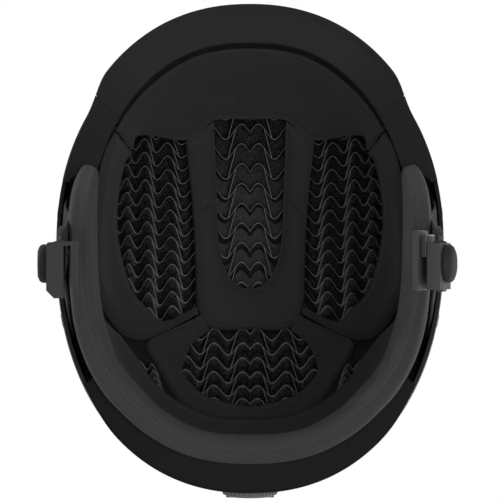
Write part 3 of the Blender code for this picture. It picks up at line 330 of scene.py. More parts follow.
def moulded(name, colour, roughness, specular=0.3, bump=0.12, drift=0.12, metallic=0.0):
    """Moulded plastic or plain metal with a fine grain."""
    made, tree, shader = new_finish(name)
    look = put(tree, "ShaderNodeGroup",
               [("Colour", (*colour, 1)), ("Drift", drift), ("Roughness", roughness)], node_tree=grain)
    tree.links.new(look.outputs["Colour"], shader.inputs["Base Color"])
    tree.links.new(look.outputs["Roughness"], shader.inputs["Roughness"])
    emboss(tree, shader, look.outputs["Height"], bump)
    shader.inputs["Specular IOR Level"].default_value = specular
    shader.inputs["Metallic"].default_value = metallic
    return made


SHELL_BLACK = moulded("shell_black", (0.0102, 0.0102, 0.0104), 0.56, specular=0.11, bump=0.10)


def shell_skin(azimuths, bands, off):
    """Grid of one skin of the shell, from crown to rim."""
    tilts = rim_tilt(azimuths, rim_height(azimuths) + COVER + COVER_GAP, 0.0, off)
    share = np.linspace(0, 1, bands + 1)
    rows = []
    for azimuth, tilt in zip(azimuths, tilts):
        rows.append(in_wall(polar(np.full(bands + 1, azimuth), tilt * share), 0.0, off))
    return np.array(rows)


SHELL_SIDES, SHELL_BANDS = 180, 64
around = np.linspace(-180, 180, SHELL_SIDES, endpoint=False)
outside = shell_skin(around, SHELL_BANDS, 0.0)
inside = shell_skin(around, SHELL_BANDS, -SHELL_WALL)
per_skin = SHELL_SIDES * (SHELL_BANDS + 1)
faces = skin_faces(SHELL_SIDES, SHELL_BANDS + 1, wrap=True)
faces += skin_faces(SHELL_SIDES, SHELL_BANDS + 1, start=per_skin, wrap=True)
for i in range(SHELL_SIDES):
    a = i * (SHELL_BANDS + 1) + SHELL_BANDS
    b = ((i + 1) % SHELL_SIDES) * (SHELL_BANDS + 1) + SHELL_BANDS
    faces.append((a, b, per_skin + b, per_skin + a))
skins = np.concatenate([outside.reshape(-1, 3), inside.reshape(-1, 3)])
shell = mesh_piece("shell", skins, faces, SHELL_BLACK)

# Vents on the right half of the flat pattern, in millimetres: middle, half length, turn in degrees
VENTS = [(62, -56, 24, 17), (74, 2, 24, 4), (23, 86, 17, 20)]
VENT_HALF = 5.0
# Levels of a vent's cutter outside the shell, and how much wider it is there, for a rounded lip
VENT_LEVELS = [(4.0, 1.3), (0.05, 1.0), (-0.9, 0.0), (-6.0, 0.0)]
for side in (-1, 1):
    for p, q, half, turn in VENTS:
        lean = math.radians(turn)
        rings = []
        for off, slack in VENT_LEVELS:
            bow = np.radians(np.linspace(0, 360, 41)[:-1])
            flat_x = (VENT_HALF + slack) * np.cos(bow)
            flat_y = (VENT_HALF + slack) * np.sin(bow) + np.sign(np.sin(bow)) * (half - VENT_HALF)
            flat_y[0] = half - VENT_HALF
            out = p + flat_x * math.cos(lean) + flat_y * math.sin(lean)
            back = q + flat_y * math.cos(lean) - flat_x * math.sin(lean)
            rings.append(in_wall(aim_at(np.stack([side * out, back], -1)), 0.0, off * MM))
        carve(shell, loft("vent_cutter", rings, None))

DIAL_Z = 28 * MM
NOTCH_RADIUS = 20.5 * MM
arch = np.radians(np.linspace(0, 180, 33))
arch_x = np.concatenate([NOTCH_RADIUS * np.cos(arch), [-NOTCH_RADIUS, NOTCH_RADIUS]])
arch_z = np.concatenate([DIAL_Z + NOTCH_RADIUS * np.sin(arch), [-0.03, -0.03]])
rings = [np.stack([arch_x, np.full(len(arch_x), y), arch_z], -1) for y in (0.115, 0.17)]
carve(shell, loft("notch_cutter", rings, None))
shell.data.shade_smooth()
shell.data.set_sharp_from_angle(angle=math.radians(32))
fasten(shell, "helmet", ["outer_shell"])

# Foam liner: a thick dome of moulded black foam beads, bonded inside the shell.
# It shows at the rim over the ears and at the bottom of the vents.
foam, tree, shader = new_finish("beaded_foam")
place = put(tree, "ShaderNodeTexCoord").outputs["Object"]
beads = put(tree, "ShaderNodeTexVoronoi", [("Vector", place), ("Scale", 330.0)])
dim = put(tree, "ShaderNodeMapRange",
          [("Value", beads.outputs["Distance"]), ("To Min", 0.013), ("To Max", 0.007)])
tree.links.new(dim.outputs[0], shader.inputs["Base Color"])
relief = put(tree, "ShaderNodeBump",
             [("Height", beads.outputs["Distance"]), ("Strength", 0.35), ("Distance", 2 * RELIEF)],
             invert=True)
tree.links.new(relief.outputs["Normal"], shader.inputs["Normal"])
shader.inputs["Roughness"].default_value = 0.85
shader.inputs["Specular IOR Level"].default_value = 0.15


def repaint(node, finish):
    """Give a node of the frame its finish."""
    NODES[node].data.materials.clear()
    NODES[node].data.materials.append(finish)


repaint("foam_liner", foam)

# Cell inserts: stacks of thin folded polymer strips that stand in pockets of the foam.
# Each row is a wave, leaning back, and straight ribs run from its crests to the next row.
CELL_FLOOR, CELL_TOP = 0.52, 0.77


def dome_target(name, dome):
    """Fine dome that the cell rows are laid on."""
    sides, bands = 160, 80
    turns = np.repeat(np.linspace(-180, 180, sides, endpoint=False), bands + 1)
    tilts = np.tile(np.linspace(0, 2.2, bands + 1), sides)
    aims = polar(turns, tilts)
    points = SIGHT + aims * reach(dome, aims)[:, None]
    return mesh_piece(name, points, skin_faces(sides, bands + 1, wrap=True), None)


targets = [dome_target("target_out", DOME_OUT), dome_target("target_in", DOME_IN)]


def new_nodes(name, inputs):
    """Geometry node tree with named inputs, and its two ends."""
    tree = bpy.data.node_groups.new(name, "GeometryNodeTree")
    for label, kind, value in inputs:
        made = tree.interface.new_socket(label, in_out="INPUT", socket_type=kind)
        if value is not None:
            made.default_value = value
    tree.interface.new_socket("Geometry", in_out="OUTPUT", socket_type="NodeSocketGeometry")
    return tree, tree.nodes.new("NodeGroupInput"), tree.nodes.new("NodeGroupOutput")


# Lay flat geometry on the domes: x and y are the flat pattern, z the share of the wall
lay, ins, outs = new_nodes("lay_on_dome", [("Geometry", "NodeSocketGeometry", None)])
spot = put(lay, "ShaderNodeSeparateXYZ", [(0, put(lay, "GeometryNodeInputPosition").outputs[0])])
flat_p, flat_q, share = spot.outputs
squares = [maths(lay, "MULTIPLY", part, part) for part in (flat_p, flat_q)]
away = maths(lay, "MAXIMUM", maths(lay, "SQRT", maths(lay, "ADD", *squares)), 1e-6)
tilt = maths(lay, "DIVIDE", away, PATTERN_RADIUS)
level = maths(lay, "DIVIDE", maths(lay, "SINE", tilt), away)
aim = put(lay, "ShaderNodeCombineXYZ", [
    (0, maths(lay, "MULTIPLY", flat_p, level)), (1, maths(lay, "MULTIPLY", flat_q, level)),
    (2, maths(lay, "COSINE", tilt))]).outputs[0]
eye = put(lay, "FunctionNodeInputVector", vector=tuple(SIGHT)).outputs[0]
hits = []
for target in targets:
    source = put(lay, "GeometryNodeObjectInfo")
    source.inputs["Object"].default_value = target
    ray = put(lay, "GeometryNodeRaycast", [
        ("Target Geometry", source.outputs["Geometry"]), ("Source Position", eye), ("Ray Direction", aim)])
    hits.append(ray.outputs["Hit Distance"])
inward = maths(lay, "MULTIPLY", maths(lay, "SUBTRACT", hits[1], hits[0]), share)
length = maths(lay, "ADD", hits[0], inward)
placed = put(lay, "ShaderNodeVectorMath", [(0, aim), ("Scale", length)], operation="SCALE").outputs[0]
placed = put(lay, "ShaderNodeVectorMath", [(0, placed), (1, tuple(SIGHT))], operation="ADD").outputs[0]
moved = put(lay, "GeometryNodeSetPosition", [("Geometry", ins.outputs[0]), ("Position", placed)])
lay.links.new(moved.outputs[0], outs.inputs[0])

# Rows of waves and ribs on a four-cornered patch of the flat pattern
cells, ins, outs = new_nodes("cell_rows", [
    ("Front Left", "NodeSocketVector", None), ("Front Right", "NodeSocketVector", None),
    ("Back Right", "NodeSocketVector", None), ("Back Left", "NodeSocketVector", None),
    ("Width", "NodeSocketFloat", 0.05), ("Length", "NodeSocketFloat", 0.12), ("Rows", "NodeSocketInt", 10),
    ("Half Wave", "NodeSocketFloat", 0.01), ("Crest", "NodeSocketFloat", 0.004),
    ("Mirror", "NodeSocketFloat", 1.0), ("Sway", "NodeSocketFloat", 0.004),
    ("Lean", "NodeSocketFloat", 0.004), ("Wall", "NodeSocketFloat", 0.0007),
    ("Ribs", "NodeSocketInt", 2), ("Finish", "NodeSocketMaterial", None)])
pin = ins.outputs
pitch = maths(cells, "DIVIDE", pin["Length"], pin["Rows"])


def wave_at(x):
    """Sway of a row at a place across the panel."""
    folded = maths(cells, "ABSOLUTE", x)
    chosen = put(cells, "ShaderNodeMix", [(0, pin["Mirror"]), (2, x), (3, folded)]).outputs[0]
    turn = maths(cells, "DIVIDE", maths(cells, "SUBTRACT", chosen, pin["Crest"]), pin["Half Wave"])
    wave = maths(cells, "COSINE", maths(cells, "MULTIPLY", turn, math.pi))
    return maths(cells, "MULTIPLY", maths(cells, "MULTIPLY", wave, pin["Sway"]), -1.0)


def marked(points, strip):
    """Instances of a strip on points, made real, each remembering its own point."""
    where = put(cells, "GeometryNodeInputPosition").outputs[0]
    kept = put(cells, "GeometryNodeStoreNamedAttribute",
               [("Geometry", points), ("Name", "root"), ("Value", where)], data_type="FLOAT_VECTOR")
    many = put(cells, "GeometryNodeInstanceOnPoints", [("Points", kept.outputs[0]), ("Instance", strip)])
    return put(cells, "GeometryNodeRealizeInstances", [("Geometry", many.outputs[0])]).outputs[0]


def bent(strips, x, y, rise):
    """Strips moved to a place across and along the panel, and to a depth: 0 at the foot, 1 at the lip."""
    tipped = maths(cells, "MULTIPLY", pin["Lean"], maths(cells, "SUBTRACT", 1.0, rise))
    leaned = maths(cells, "ADD", y, tipped)
    u = maths(cells, "ADD", maths(cells, "DIVIDE", x, pin["Width"]), 0.5)
    v = maths(cells, "DIVIDE", leaned, pin["Length"])
    edges = []
    for left, right in (("Front Left", "Front Right"), ("Back Left", "Back Right")):
        edge = put(cells, "ShaderNodeMix", [(0, u), (4, pin[left]), (5, pin[right])], data_type="VECTOR",
                   clamp_factor=False)
        edges.append(edge.outputs[1])
    flat = put(cells, "ShaderNodeMix", [(0, v), (4, edges[0]), (5, edges[1])], data_type="VECTOR",
               clamp_factor=False)
    parts = put(cells, "ShaderNodeSeparateXYZ", [(0, flat.outputs[1])])
    depth = maths(cells, "ADD", CELL_FLOOR, maths(cells, "MULTIPLY", rise, CELL_TOP - CELL_FLOOR))
    spot = put(cells, "ShaderNodeCombineXYZ", [(0, parts.outputs[0]), (1, parts.outputs[1]), (2, depth)])
    kept = put(cells, "GeometryNodeStoreNamedAttribute",
               [("Geometry", strips), ("Name", "lip"), ("Value", rise)])
    moved = put(cells, "GeometryNodeSetPosition",
                [("Geometry", kept.outputs[0]), ("Position", spot.outputs[0])])
    return moved.outputs[0]


def local_and_root():
    """A strip's own coordinates and its point's."""
    here = put(cells, "GeometryNodeInputPosition").outputs[0]
    kept = put(cells, "GeometryNodeInputNamedAttribute", [("Name", "root")], data_type="FLOAT_VECTOR")
    root = kept.outputs[0]
    own = put(cells, "ShaderNodeVectorMath", [(0, here), (1, root)], operation="SUBTRACT").outputs[0]
    return [put(cells, "ShaderNodeSeparateXYZ", [(0, value)]).outputs for value in (own, root)]


size = put(cells, "ShaderNodeCombineXYZ", [(0, pin["Width"]), (1, pin["Wall"]), (2, 1.0)]).outputs[0]
fold = put(cells, "GeometryNodeMeshCube",
           [("Size", size), ("Vertices X", 120), ("Vertices Y", 2), ("Vertices Z", 4)])
first = put(cells, "ShaderNodeCombineXYZ", [(1, maths(cells, "MULTIPLY", pitch, 0.5))]).outputs[0]
step = put(cells, "ShaderNodeCombineXYZ", [(1, pitch)]).outputs[0]
row_points = put(cells, "GeometryNodeMeshLine",
                 [("Count", pin["Rows"]), ("Start Location", first), ("Offset", step)])
strips = marked(row_points.outputs[0], fold.outputs[0])
own, root = local_and_root()
y = maths(cells, "ADD", maths(cells, "ADD", own[1], root[1]), wave_at(own[0]))
waves = bent(strips, own[0], y, maths(cells, "ADD", own[2], 0.5))
layers = [waves]
# A rib runs to the next row between these shares of a half wave past the crest
RIB_START, RIB_END = 0.36, 0.84
for way in (-1.0, 1.0):
    rib_size = put(cells, "ShaderNodeCombineXYZ", [(0, pin["Wall"]), (1, 1.0), (2, 1.0)]).outputs[0]
    rib = put(cells, "GeometryNodeMeshCube",
              [("Size", rib_size), ("Vertices X", 2), ("Vertices Y", 10), ("Vertices Z", 3)])
    start = put(cells, "ShaderNodeCombineXYZ", [(0, maths(cells, "MULTIPLY", pin["Crest"], way)),
                                                (1, maths(cells, "MULTIPLY", pitch, 0.5))]).outputs[0]
    along = put(cells, "GeometryNodeMeshLine", [("Count", maths(cells, "SUBTRACT", pin["Rows"], 1)),
                                                ("Start Location", start), ("Offset", step)])
    apart = maths(cells, "MULTIPLY", pin["Half Wave"], 2.0 * way)
    aside = put(cells, "ShaderNodeCombineXYZ", [(0, apart)]).outputs[0]
    crests = put(cells, "GeometryNodeMeshLine", [("Count", pin["Ribs"]), ("Offset", aside)])
    sites = put(cells, "GeometryNodeInstanceOnPoints",
                [("Points", along.outputs[0]), ("Instance", crests.outputs[0])])
    sites = put(cells, "GeometryNodeRealizeInstances", [("Geometry", sites.outputs[0])])
    ribs = marked(sites.outputs[0], rib.outputs[0])
    own, root = local_and_root()
    run = maths(cells, "ADD", own[1], 0.5)
    near = maths(cells, "ADD", root[0], maths(cells, "MULTIPLY", pin["Half Wave"], RIB_START * way))
    far = maths(cells, "ADD", root[0], maths(cells, "MULTIPLY", pin["Half Wave"], RIB_END * way))
    x = put(cells, "ShaderNodeMix", [(0, run), (2, near), (3, far)]).outputs[0]
    sway = put(cells, "ShaderNodeMix", [(0, run), (2, wave_at(near)), (3, wave_at(far))]).outputs[0]
    y = maths(cells, "ADD", maths(cells, "ADD", root[1], maths(cells, "MULTIPLY", run, pitch)), sway)
    layers.append(bent(ribs, maths(cells, "ADD", x, own[0]), y, maths(cells, "ADD", own[2], 0.5)))
# The sheet under the rows, as a share of their height
SHEET = 0.12
sheet_size = put(cells, "ShaderNodeCombineXYZ", [(0, pin["Width"]), (1, pin["Length"]), (2, SHEET)])
sheet = put(cells, "GeometryNodeMeshCube",
            [("Size", sheet_size.outputs[0]), ("Vertices X", 24), ("Vertices Y", 30)])
here = put(cells, "ShaderNodeSeparateXYZ", [(0, put(cells, "GeometryNodeInputPosition").outputs[0])]).outputs
level = maths(cells, "ADD", here[1], maths(cells, "MULTIPLY", pin["Length"], 0.5))
layers.append(bent(sheet.outputs[0], here[0], level, maths(cells, "SUBTRACT", here[2], SHEET / 2)))
joined = put(cells, "GeometryNodeJoinGeometry")
for layer in reversed(layers):
    cells.links.new(layer, joined.inputs[0])
laid = put(cells, "GeometryNodeGroup", node_tree=lay)
cells.links.new(joined.outputs[0], laid.inputs[0])
real = put(cells, "GeometryNodeRealizeInstances", [("Geometry", laid.outputs[0])])
painted = put(cells, "GeometryNodeSetMaterial", [("Geometry", real.outputs[0]), ("Material", pin["Finish"])])
cells.links.new(painted.outputs[0], outs.inputs[0])

# Painted shade: each cell strip darkens from the wall colour at its top to near black at its foot, and the
# sheet under the rows takes the foot colour.
CELL_FOOT_SHADE, CELL_WALL = (0.011, 0.011, 0.011, 1), (0.037, 0.037, 0.038, 1)
# Painted highlight: the top share of each strip is painted much lighter, as where the lips catch the light.
CELL_LIP_HIGHLIGHT, LIP_HIGHLIGHT_START = (0.125, 0.125, 0.127, 1), 0.86
cell_grey, tree, shader = new_finish("cell_polymer")
lip = put(tree, "ShaderNodeAttribute", attribute_name="lip").outputs["Fac"]
edge = put(tree, "ShaderNodeMapRange",
           [("Value", lip), ("From Min", LIP_HIGHLIGHT_START), ("From Max", 1.0), ("To Min", 0.0), ("To Max", 1.0)])
painted_foot_shade = put(tree, "ShaderNodeMix", [(0, lip), (6, CELL_FOOT_SHADE), (7, CELL_WALL)], data_type="RGBA")
place = put(tree, "ShaderNodeTexCoord").outputs["Object"]
speckle = put(tree, "ShaderNodeTexNoise", [("Vector", place), ("Scale", 800.0), ("Detail", 3.0)])
grains = maths(tree, "MULTIPLY", maths(tree, "SUBTRACT", speckle.outputs["Fac"], 0.34), 6.0)
ridges = maths(tree, "MULTIPLY", maths(tree, "SINE", maths(tree, "MULTIPLY", lip, 44.0)), 0.22)
rough = maths(tree, "MAXIMUM", maths(tree, "ADD", grains, ridges), 0.2)
walls = put(tree, "ShaderNodeVectorMath", [(0, painted_foot_shade.outputs[2]), ("Scale", rough)], operation="SCALE")
painted_lip_highlight = put(tree, "ShaderNodeMix",
          [(0, edge.outputs[0]), (6, walls.outputs[0]), (7, CELL_LIP_HIGHLIGHT)], data_type="RGBA")
tree.links.new(painted_lip_highlight.outputs[2], shader.inputs["Base Color"])
haze = put(tree, "ShaderNodeTexNoise", [("Vector", place), ("Scale", 420.0)])
gloss = put(tree, "ShaderNodeMapRange", [("Value", haze.outputs["Fac"]), ("To Min", 0.34), ("To Max", 0.52)])
tree.links.new(gloss.outputs[0], shader.inputs["Roughness"])
shader.inputs["Specular IOR Level"].default_value = 0.1

# Corners on the flat pattern in millimetres, clockwise from front left, then the rows, half wave, first
# crest, mirroring about the middle, sway and lean; the right-hand panels are mirror images
CELL_PANELS = {
    "cell_panel_front": ((-27, -88), (27, -88), (27, 36), (-27, 36), 10, 10.0, 5.3, 1, 4.8, 3.8),
    "cell_panel_rear": ((-45, 52), (45, 52), (47, 114), (-47, 114), 7, 8.8, 4.6, 1, 3.6, 1.6),
    "cell_panel_left": ((-116, -97), (-38, -68), (-34, 45.5), (-108, 61), 14, 9.4, 4.6, 0, 4.3, 4.4),
    "cell_panel_nape_left": ((-115, 82), (-62, 80), (-54, 118), (-93, 114), 8, 4.6, 2.4, 0, 2.6, 0.8),
}
FOIL = 0.4 * MM
CELL_INPUTS = {item.name: item.identifier for item in cells.interface.items_tree if item.in_out == "INPUT"}
for node, (a, b, c, d, rows, half, crest, mirror, sway, lean) in CELL_PANELS.items():
    middle = [(Vector(a) + Vector(b)) / 2, (Vector(c) + Vector(d)) / 2]
    width = ((Vector(b) - Vector(a)).length + (Vector(c) - Vector(d)).length) / 2 * MM
    seed = mesh_piece(node.replace("panel", "rows"), [(0, 0, 0)], [], None)
    rows_step = seed.modifiers.new("cells", "NODES")
    rows_step.node_group = cells
    values = {
        "Front Left": (a[0] * MM, a[1] * MM, 0), "Front Right": (b[0] * MM, b[1] * MM, 0),
        "Back Right": (c[0] * MM, c[1] * MM, 0), "Back Left": (d[0] * MM, d[1] * MM, 0),
        "Width": width, "Length": (middle[1] - middle[0]).length * MM, "Rows": rows, "Half Wave": half * MM,
        "Crest": crest * MM, "Mirror": float(mirror), "Sway": sway * MM, "Lean": lean * MM, "Wall": FOIL,
        "Ribs": max(1, int((width / MM / 2 - abs(crest)) / (2 * half)) + 1), "Finish": cell_grey,
    }
    for label, value in values.items():
        rows_step[CELL_INPUTS[label]] = value
    bake(seed)
    fasten(seed, "helmet", [node])
    if node.endswith("left"):
        other = bpy.data.objects.new(seed.name.replace("left", "right"), seed.data.copy())
        other.data.transform(Matrix.Scale(-1, 4, (1, 0, 0)))
        other.data.flip_normals()
        stage_scene.collection.objects.link(other)
        fasten(other, "helmet", [node.replace("left", "right")])
for target in targets:
    bpy.data.objects.remove(target)

# Brim, temple trims and rear trim: matt black mouldings, bonded on under the shell's lower edge.
# The brim stands out in front as a small visor, and its ends take a tenon of the temple trims.
# The rear trim is a smooth wedge behind the neck roll.
BRIM_REACH, BRIM_RISE, BRIM_DIP = 10.4 * MM, 15 * MM, 2.5 * MM
BRIM_END, TEMPLE_END, REAR_TRIM_END = 46.5, 72.0, 131.0
TRIM_DEPTH, TENON = 0.86, 1.2 * MM
GAP = 0.3 * MM


def flare(azimuth):
    """How far the brim stands out from the shell."""
    turn = np.abs(azimuth)
    return BRIM_REACH * (1 - 0.4 * (turn / 40) ** 2) * (1 - ease((turn - 40) / 13))


def at_height(azimuth, height, depth, off=0.0):
    """Points of a layer at azimuths and heights."""
    return in_wall(polar(azimuth, rim_tilt(azimuth, height, depth, off)), depth, off)


def pushed(place, azimuth, out, height):
    """Points moved level and outwards, and set to heights."""
    turn = np.radians(azimuth)
    level = np.stack([np.sin(turn), -np.cos(turn), 0 * turn], -1)
    moved = place + level * (np.zeros(len(turn)) + out)[:, None]
    moved[:, 2] = height
    return moved


def soften(rings, radius, steps=3):
    """Round the corners of closed rings with short curves that start a radius before each corner."""
    rings = np.asarray(rings)
    ends = []
    for shift in (1, -1):
        edge = np.roll(rings, shift, 1) - rings
        far = np.linalg.norm(edge, axis=2, keepdims=True)
        ends.append(rings + edge * np.minimum(radius / far, 0.45))
    share = np.linspace(0, 1, steps + 1)
    curves = [(1 - s) ** 2 * ends[0] + 2 * s * (1 - s) * rings + s * s * ends[1] for s in share]
    return np.stack(curves, 2).reshape(len(rings), -1, 3)


turn = np.linspace(-BRIM_END, BRIM_END, 121)
low, out = rim_height(turn), flare(turn)
root = low + COVER + BRIM_RISE * out / BRIM_REACH
dip = BRIM_DIP * out / BRIM_REACH
edge, inner = at_height(turn, low + COVER, 0.0), at_height(turn, low + COVER, TRIM_DEPTH)
rings = [
    pushed(inner, turn, 0, low), pushed(edge, turn, 0.45 * out, low - 0.4 * dip),
    pushed(edge, turn, out - 0.8 * MM, low - dip), pushed(edge, turn, out, low - dip + 1.2 * MM),
    pushed(edge, turn, out - 0.9 * MM, low - dip + 2.6 * MM),
    pushed(edge, turn, 0.5 * out, low + 0.4 * (root - low)),
    at_height(turn, root, 0.0, 1.0 * MM), at_height(turn, root - 0.5 * MM, 0.0, GAP),
    at_height(turn, (root + low + COVER) / 2, 0.0, GAP), at_height(turn, low + COVER, 0.0, GAP),
    pushed(inner, turn, 0, low + COVER),
]
brim = loft("visor", soften(np.stack(rings, 1), 1.5 * MM), SHELL_BLACK, crease=50)
fasten(brim, "helmet", ["brim"])

for side, label in ((-1, "left"), (1, "right")):
    turn = side * np.linspace(BRIM_END + 0.16, TEMPLE_END, 41)
    low = rim_height(turn)
    out = np.maximum(flare(turn), -0.2 * MM)
    tuck = TRIM_DEPTH - 0.66 * ease((np.abs(turn) - 63) / 9)
    edge, inner = at_height(turn, low + COVER, 0.0), at_height(turn, low + COVER, tuck)
    rings = [
        pushed(inner, turn, 0, low), pushed(edge, turn, out - 0.8 * MM, low),
        pushed(edge, turn, out, low + 1 * MM), pushed(edge, turn, out, low + COVER),
        pushed(inner, turn, 0, low + COVER),
    ]
    rings = soften(np.stack(rings, 1), 0.8 * MM)
    core = rings[0].mean(0) + (rings[0] - rings[0].mean(0)) * (0.9, 0.9, 0.7)
    back = (rings[0] - rings[1]).mean(0)
    tenon = core + back / np.linalg.norm(back) * TENON
    trim = loft(f"temple_edge_{label}", np.concatenate([[tenon, core], rings]), SHELL_BLACK, crease=50)
    fasten(trim, "helmet", [f"temple_trim_{label}"])

# The rear trim takes a darker black than the shell and brim.
RIM_BLACK = moulded("rim_black", (0.0046, 0.0046, 0.0047), 0.5, specular=0.06, bump=0.08)
turn = np.linspace(REAR_TRIM_END, 360 - REAR_TRIM_END, 131)
corner = ((180 - turn) / 42) ** 2
tall = (10 - 5 * ease(np.abs(180 - turn) / 38)) * MM
bead = (0.9 - 1.2 * ease((np.abs(180 - turn) - 34) / 14)) * MM
edge, wall = at_height(turn, COVER, 0.0, bead), at_height(turn, COVER, 0.66 - 0.2 * corner)
rings = [
    pushed(wall, turn, 0, 0), pushed(edge, turn, -0.8 * MM, 0), pushed(edge, turn, 0, 0.8 * MM),
    pushed(edge, turn, 0, COVER), pushed(edge, turn, -3.5 * MM, COVER),
    pushed((edge + wall) / 2, turn, 0, COVER + 1.5 * MM), pushed(wall, turn, 1.6 * MM, tall),
    pushed(wall, turn, 0, tall),
]
rear = loft("rear_edge", soften(np.stack(rings, 1), 0.9 * MM), RIM_BLACK, crease=50)
fasten(rear, "helmet", ["rear_trim"])

# Comfort pads: foam cushions in brushed black cloth, held with hook tape so that they come out for washing.
# Each has a thin sewn lip round its edge, and the crown pad is sewn across at the brow.
PAD_BACK, PAD_GROOVE, PAD_FACE = 0.82, 0.895, 1.0
# From a pad's edge inwards, in millimetres: its lip's middle and half width, the groove and the swell
LIP_MIDDLE, LIP_HALF, GROOVE, SWELL = 0.9, 0.95, 1.7, 3.4
LIP_RISE, CREASE_DEPTH, CREASE_HALF = 0.42, 0.95, 1.0
# The foam is cut up over the ears to a height between two azimuths, and chamfered at the neck
EAR_TOP, EAR_SPAN = 39 * MM, (62.5, 138)
NECK_CHAMFER, GLUE_GAP = 18 * MM, 1.3 * MM

cloth, ins, outs = new_group(
    "cloth_loops",
    [("Place", "NodeSocketVector", (0, 0, 0)), ("Colour", "NodeSocketColor", (0.02, 0.02, 0.02, 1)),
     ("Loops", "NodeSocketFloat", 1500.0), ("Depth", "NodeSocketFloat", 0.4),
     ("Patches", "NodeSocketFloat", 0.25)],
    [("Colour", "NodeSocketColor"), ("Height", "NodeSocketFloat")],
)
place = ins.outputs["Place"]
grown = put(cloth, "ShaderNodeVectorMath", [(0, place), ("Scale", ins.outputs["Loops"])], operation="SCALE")
axis = put(cloth, "ShaderNodeSeparateXYZ", [(0, grown.outputs[0])]).outputs
lattice = []
for a, b in ((0, 1), (1, 2), (2, 0)):
    lattice.append(maths(cloth, "MULTIPLY", maths(cloth, "SINE", axis[a]), maths(cloth, "COSINE", axis[b])))
loops = maths(cloth, "ADD", maths(cloth, "ADD", lattice[0], lattice[1]), lattice[2])
patch = put(cloth, "ShaderNodeTexNoise", [("Vector", place), ("Scale", 55.0), ("Detail", 4.0)])
worn = maths(cloth, "MULTIPLY", maths(cloth, "SUBTRACT", patch.outputs["Fac"], 0.5), ins.outputs["Patches"])
shade = maths(cloth, "ADD", 1.0, worn)
shade = maths(cloth, "ADD", shade, maths(cloth, "MULTIPLY", loops, ins.outputs["Depth"]))
tinted = put(cloth, "ShaderNodeVectorMath", [(0, ins.outputs["Colour"]), ("Scale", shade)], operation="SCALE")
cloth.links.new(tinted.outputs[0], outs.inputs["Colour"])
cloth.links.new(loops, outs.inputs["Height"])


def fabric(name, colour, loops, depth, patches, bump, laid=None):
    """Knitted or brushed cloth with a fine regular surface, laid along an attribute where one is named."""
    made, tree, shader = new_finish(name)
    if laid is None:
        place = put(tree, "ShaderNodeTexCoord").outputs["Object"]
    else:
        place = put(tree, "ShaderNodeAttribute", attribute_name=laid).outputs["Vector"]
    look = put(tree, "ShaderNodeGroup", [("Place", place), ("Colour", (*colour, 1)), ("Loops", loops),
                                         ("Depth", depth), ("Patches", patches)], node_tree=cloth)
    tree.links.new(look.outputs["Colour"], shader.inputs["Base Color"])
    emboss(tree, shader, look.outputs["Height"], bump)
    shader.inputs["Roughness"].default_value = 0.9
    shader.inputs["Specular IOR Level"].default_value = 0.12
    shader.inputs["Sheen Weight"].default_value = 0.06
    shader.inputs["Sheen Roughness"].default_value = 0.5
    return made


LINER_CLOTH = fabric("liner_cloth", (0.0240, 0.0240, 0.0243), 7000.0, 0.10, 0.18, 0.12)


def spread(keys, steps):
    """A smooth curve through key points, with a number of steps from each key to the next."""
    keys = np.asarray(keys, float)
    ends = np.concatenate([[2 * keys[0] - keys[1]], keys, [2 * keys[-1] - keys[-2]]])
    points = []
    for a, b, c, d in zip(ends, ends[1:], ends[2:], ends[3:]):
        for t in np.arange(steps) / steps:
            bend = (2 * a - 5 * b + 4 * c - d) * t * t + (3 * b - a - 3 * c + d) * t**3
            points.append(b + 0.5 * ((c - a) * t + bend))
    return np.array(points + [keys[-1]])


PAD_STEPS, CROWN_STEPS = 9, 50


def both_sides(keys, steps=PAD_STEPS):
    """Smooth edge through left-hand keys that end on the middle line, and through their mirror image."""
    return spread(list(keys) + [(-p, q) for p, q in reversed(keys[:-1])], steps)


def foam_inner_rim(azimuth):
    """Height of the foam's inner edge: on the rim covers, cut up over the ears, chamfered at the neck."""
    turn = np.abs(azimuth)
    height = rim_height(turn) + COVER + GLUE_GAP
    share = ease((turn - EAR_SPAN[0]) / 6) * ease((EAR_SPAN[1] - turn) / 20)
    return np.maximum(height + (EAR_TOP - height) * share, NECK_CHAMFER * ease((turn - 112) / 26))


def rim_spots(azimuths, raised):
    """Flat pattern points just above the foam's inner rim, in millimetres."""
    azimuths = np.asarray(azimuths, float)
    tilt = rim_tilt(azimuths, foam_inner_rim(azimuths) + raised, PAD_BACK)
    away = tilt * PATTERN_RADIUS / MM
    return [(r * math.sin(a), -r * math.cos(a)) for r, a in zip(away, np.radians(azimuths))]


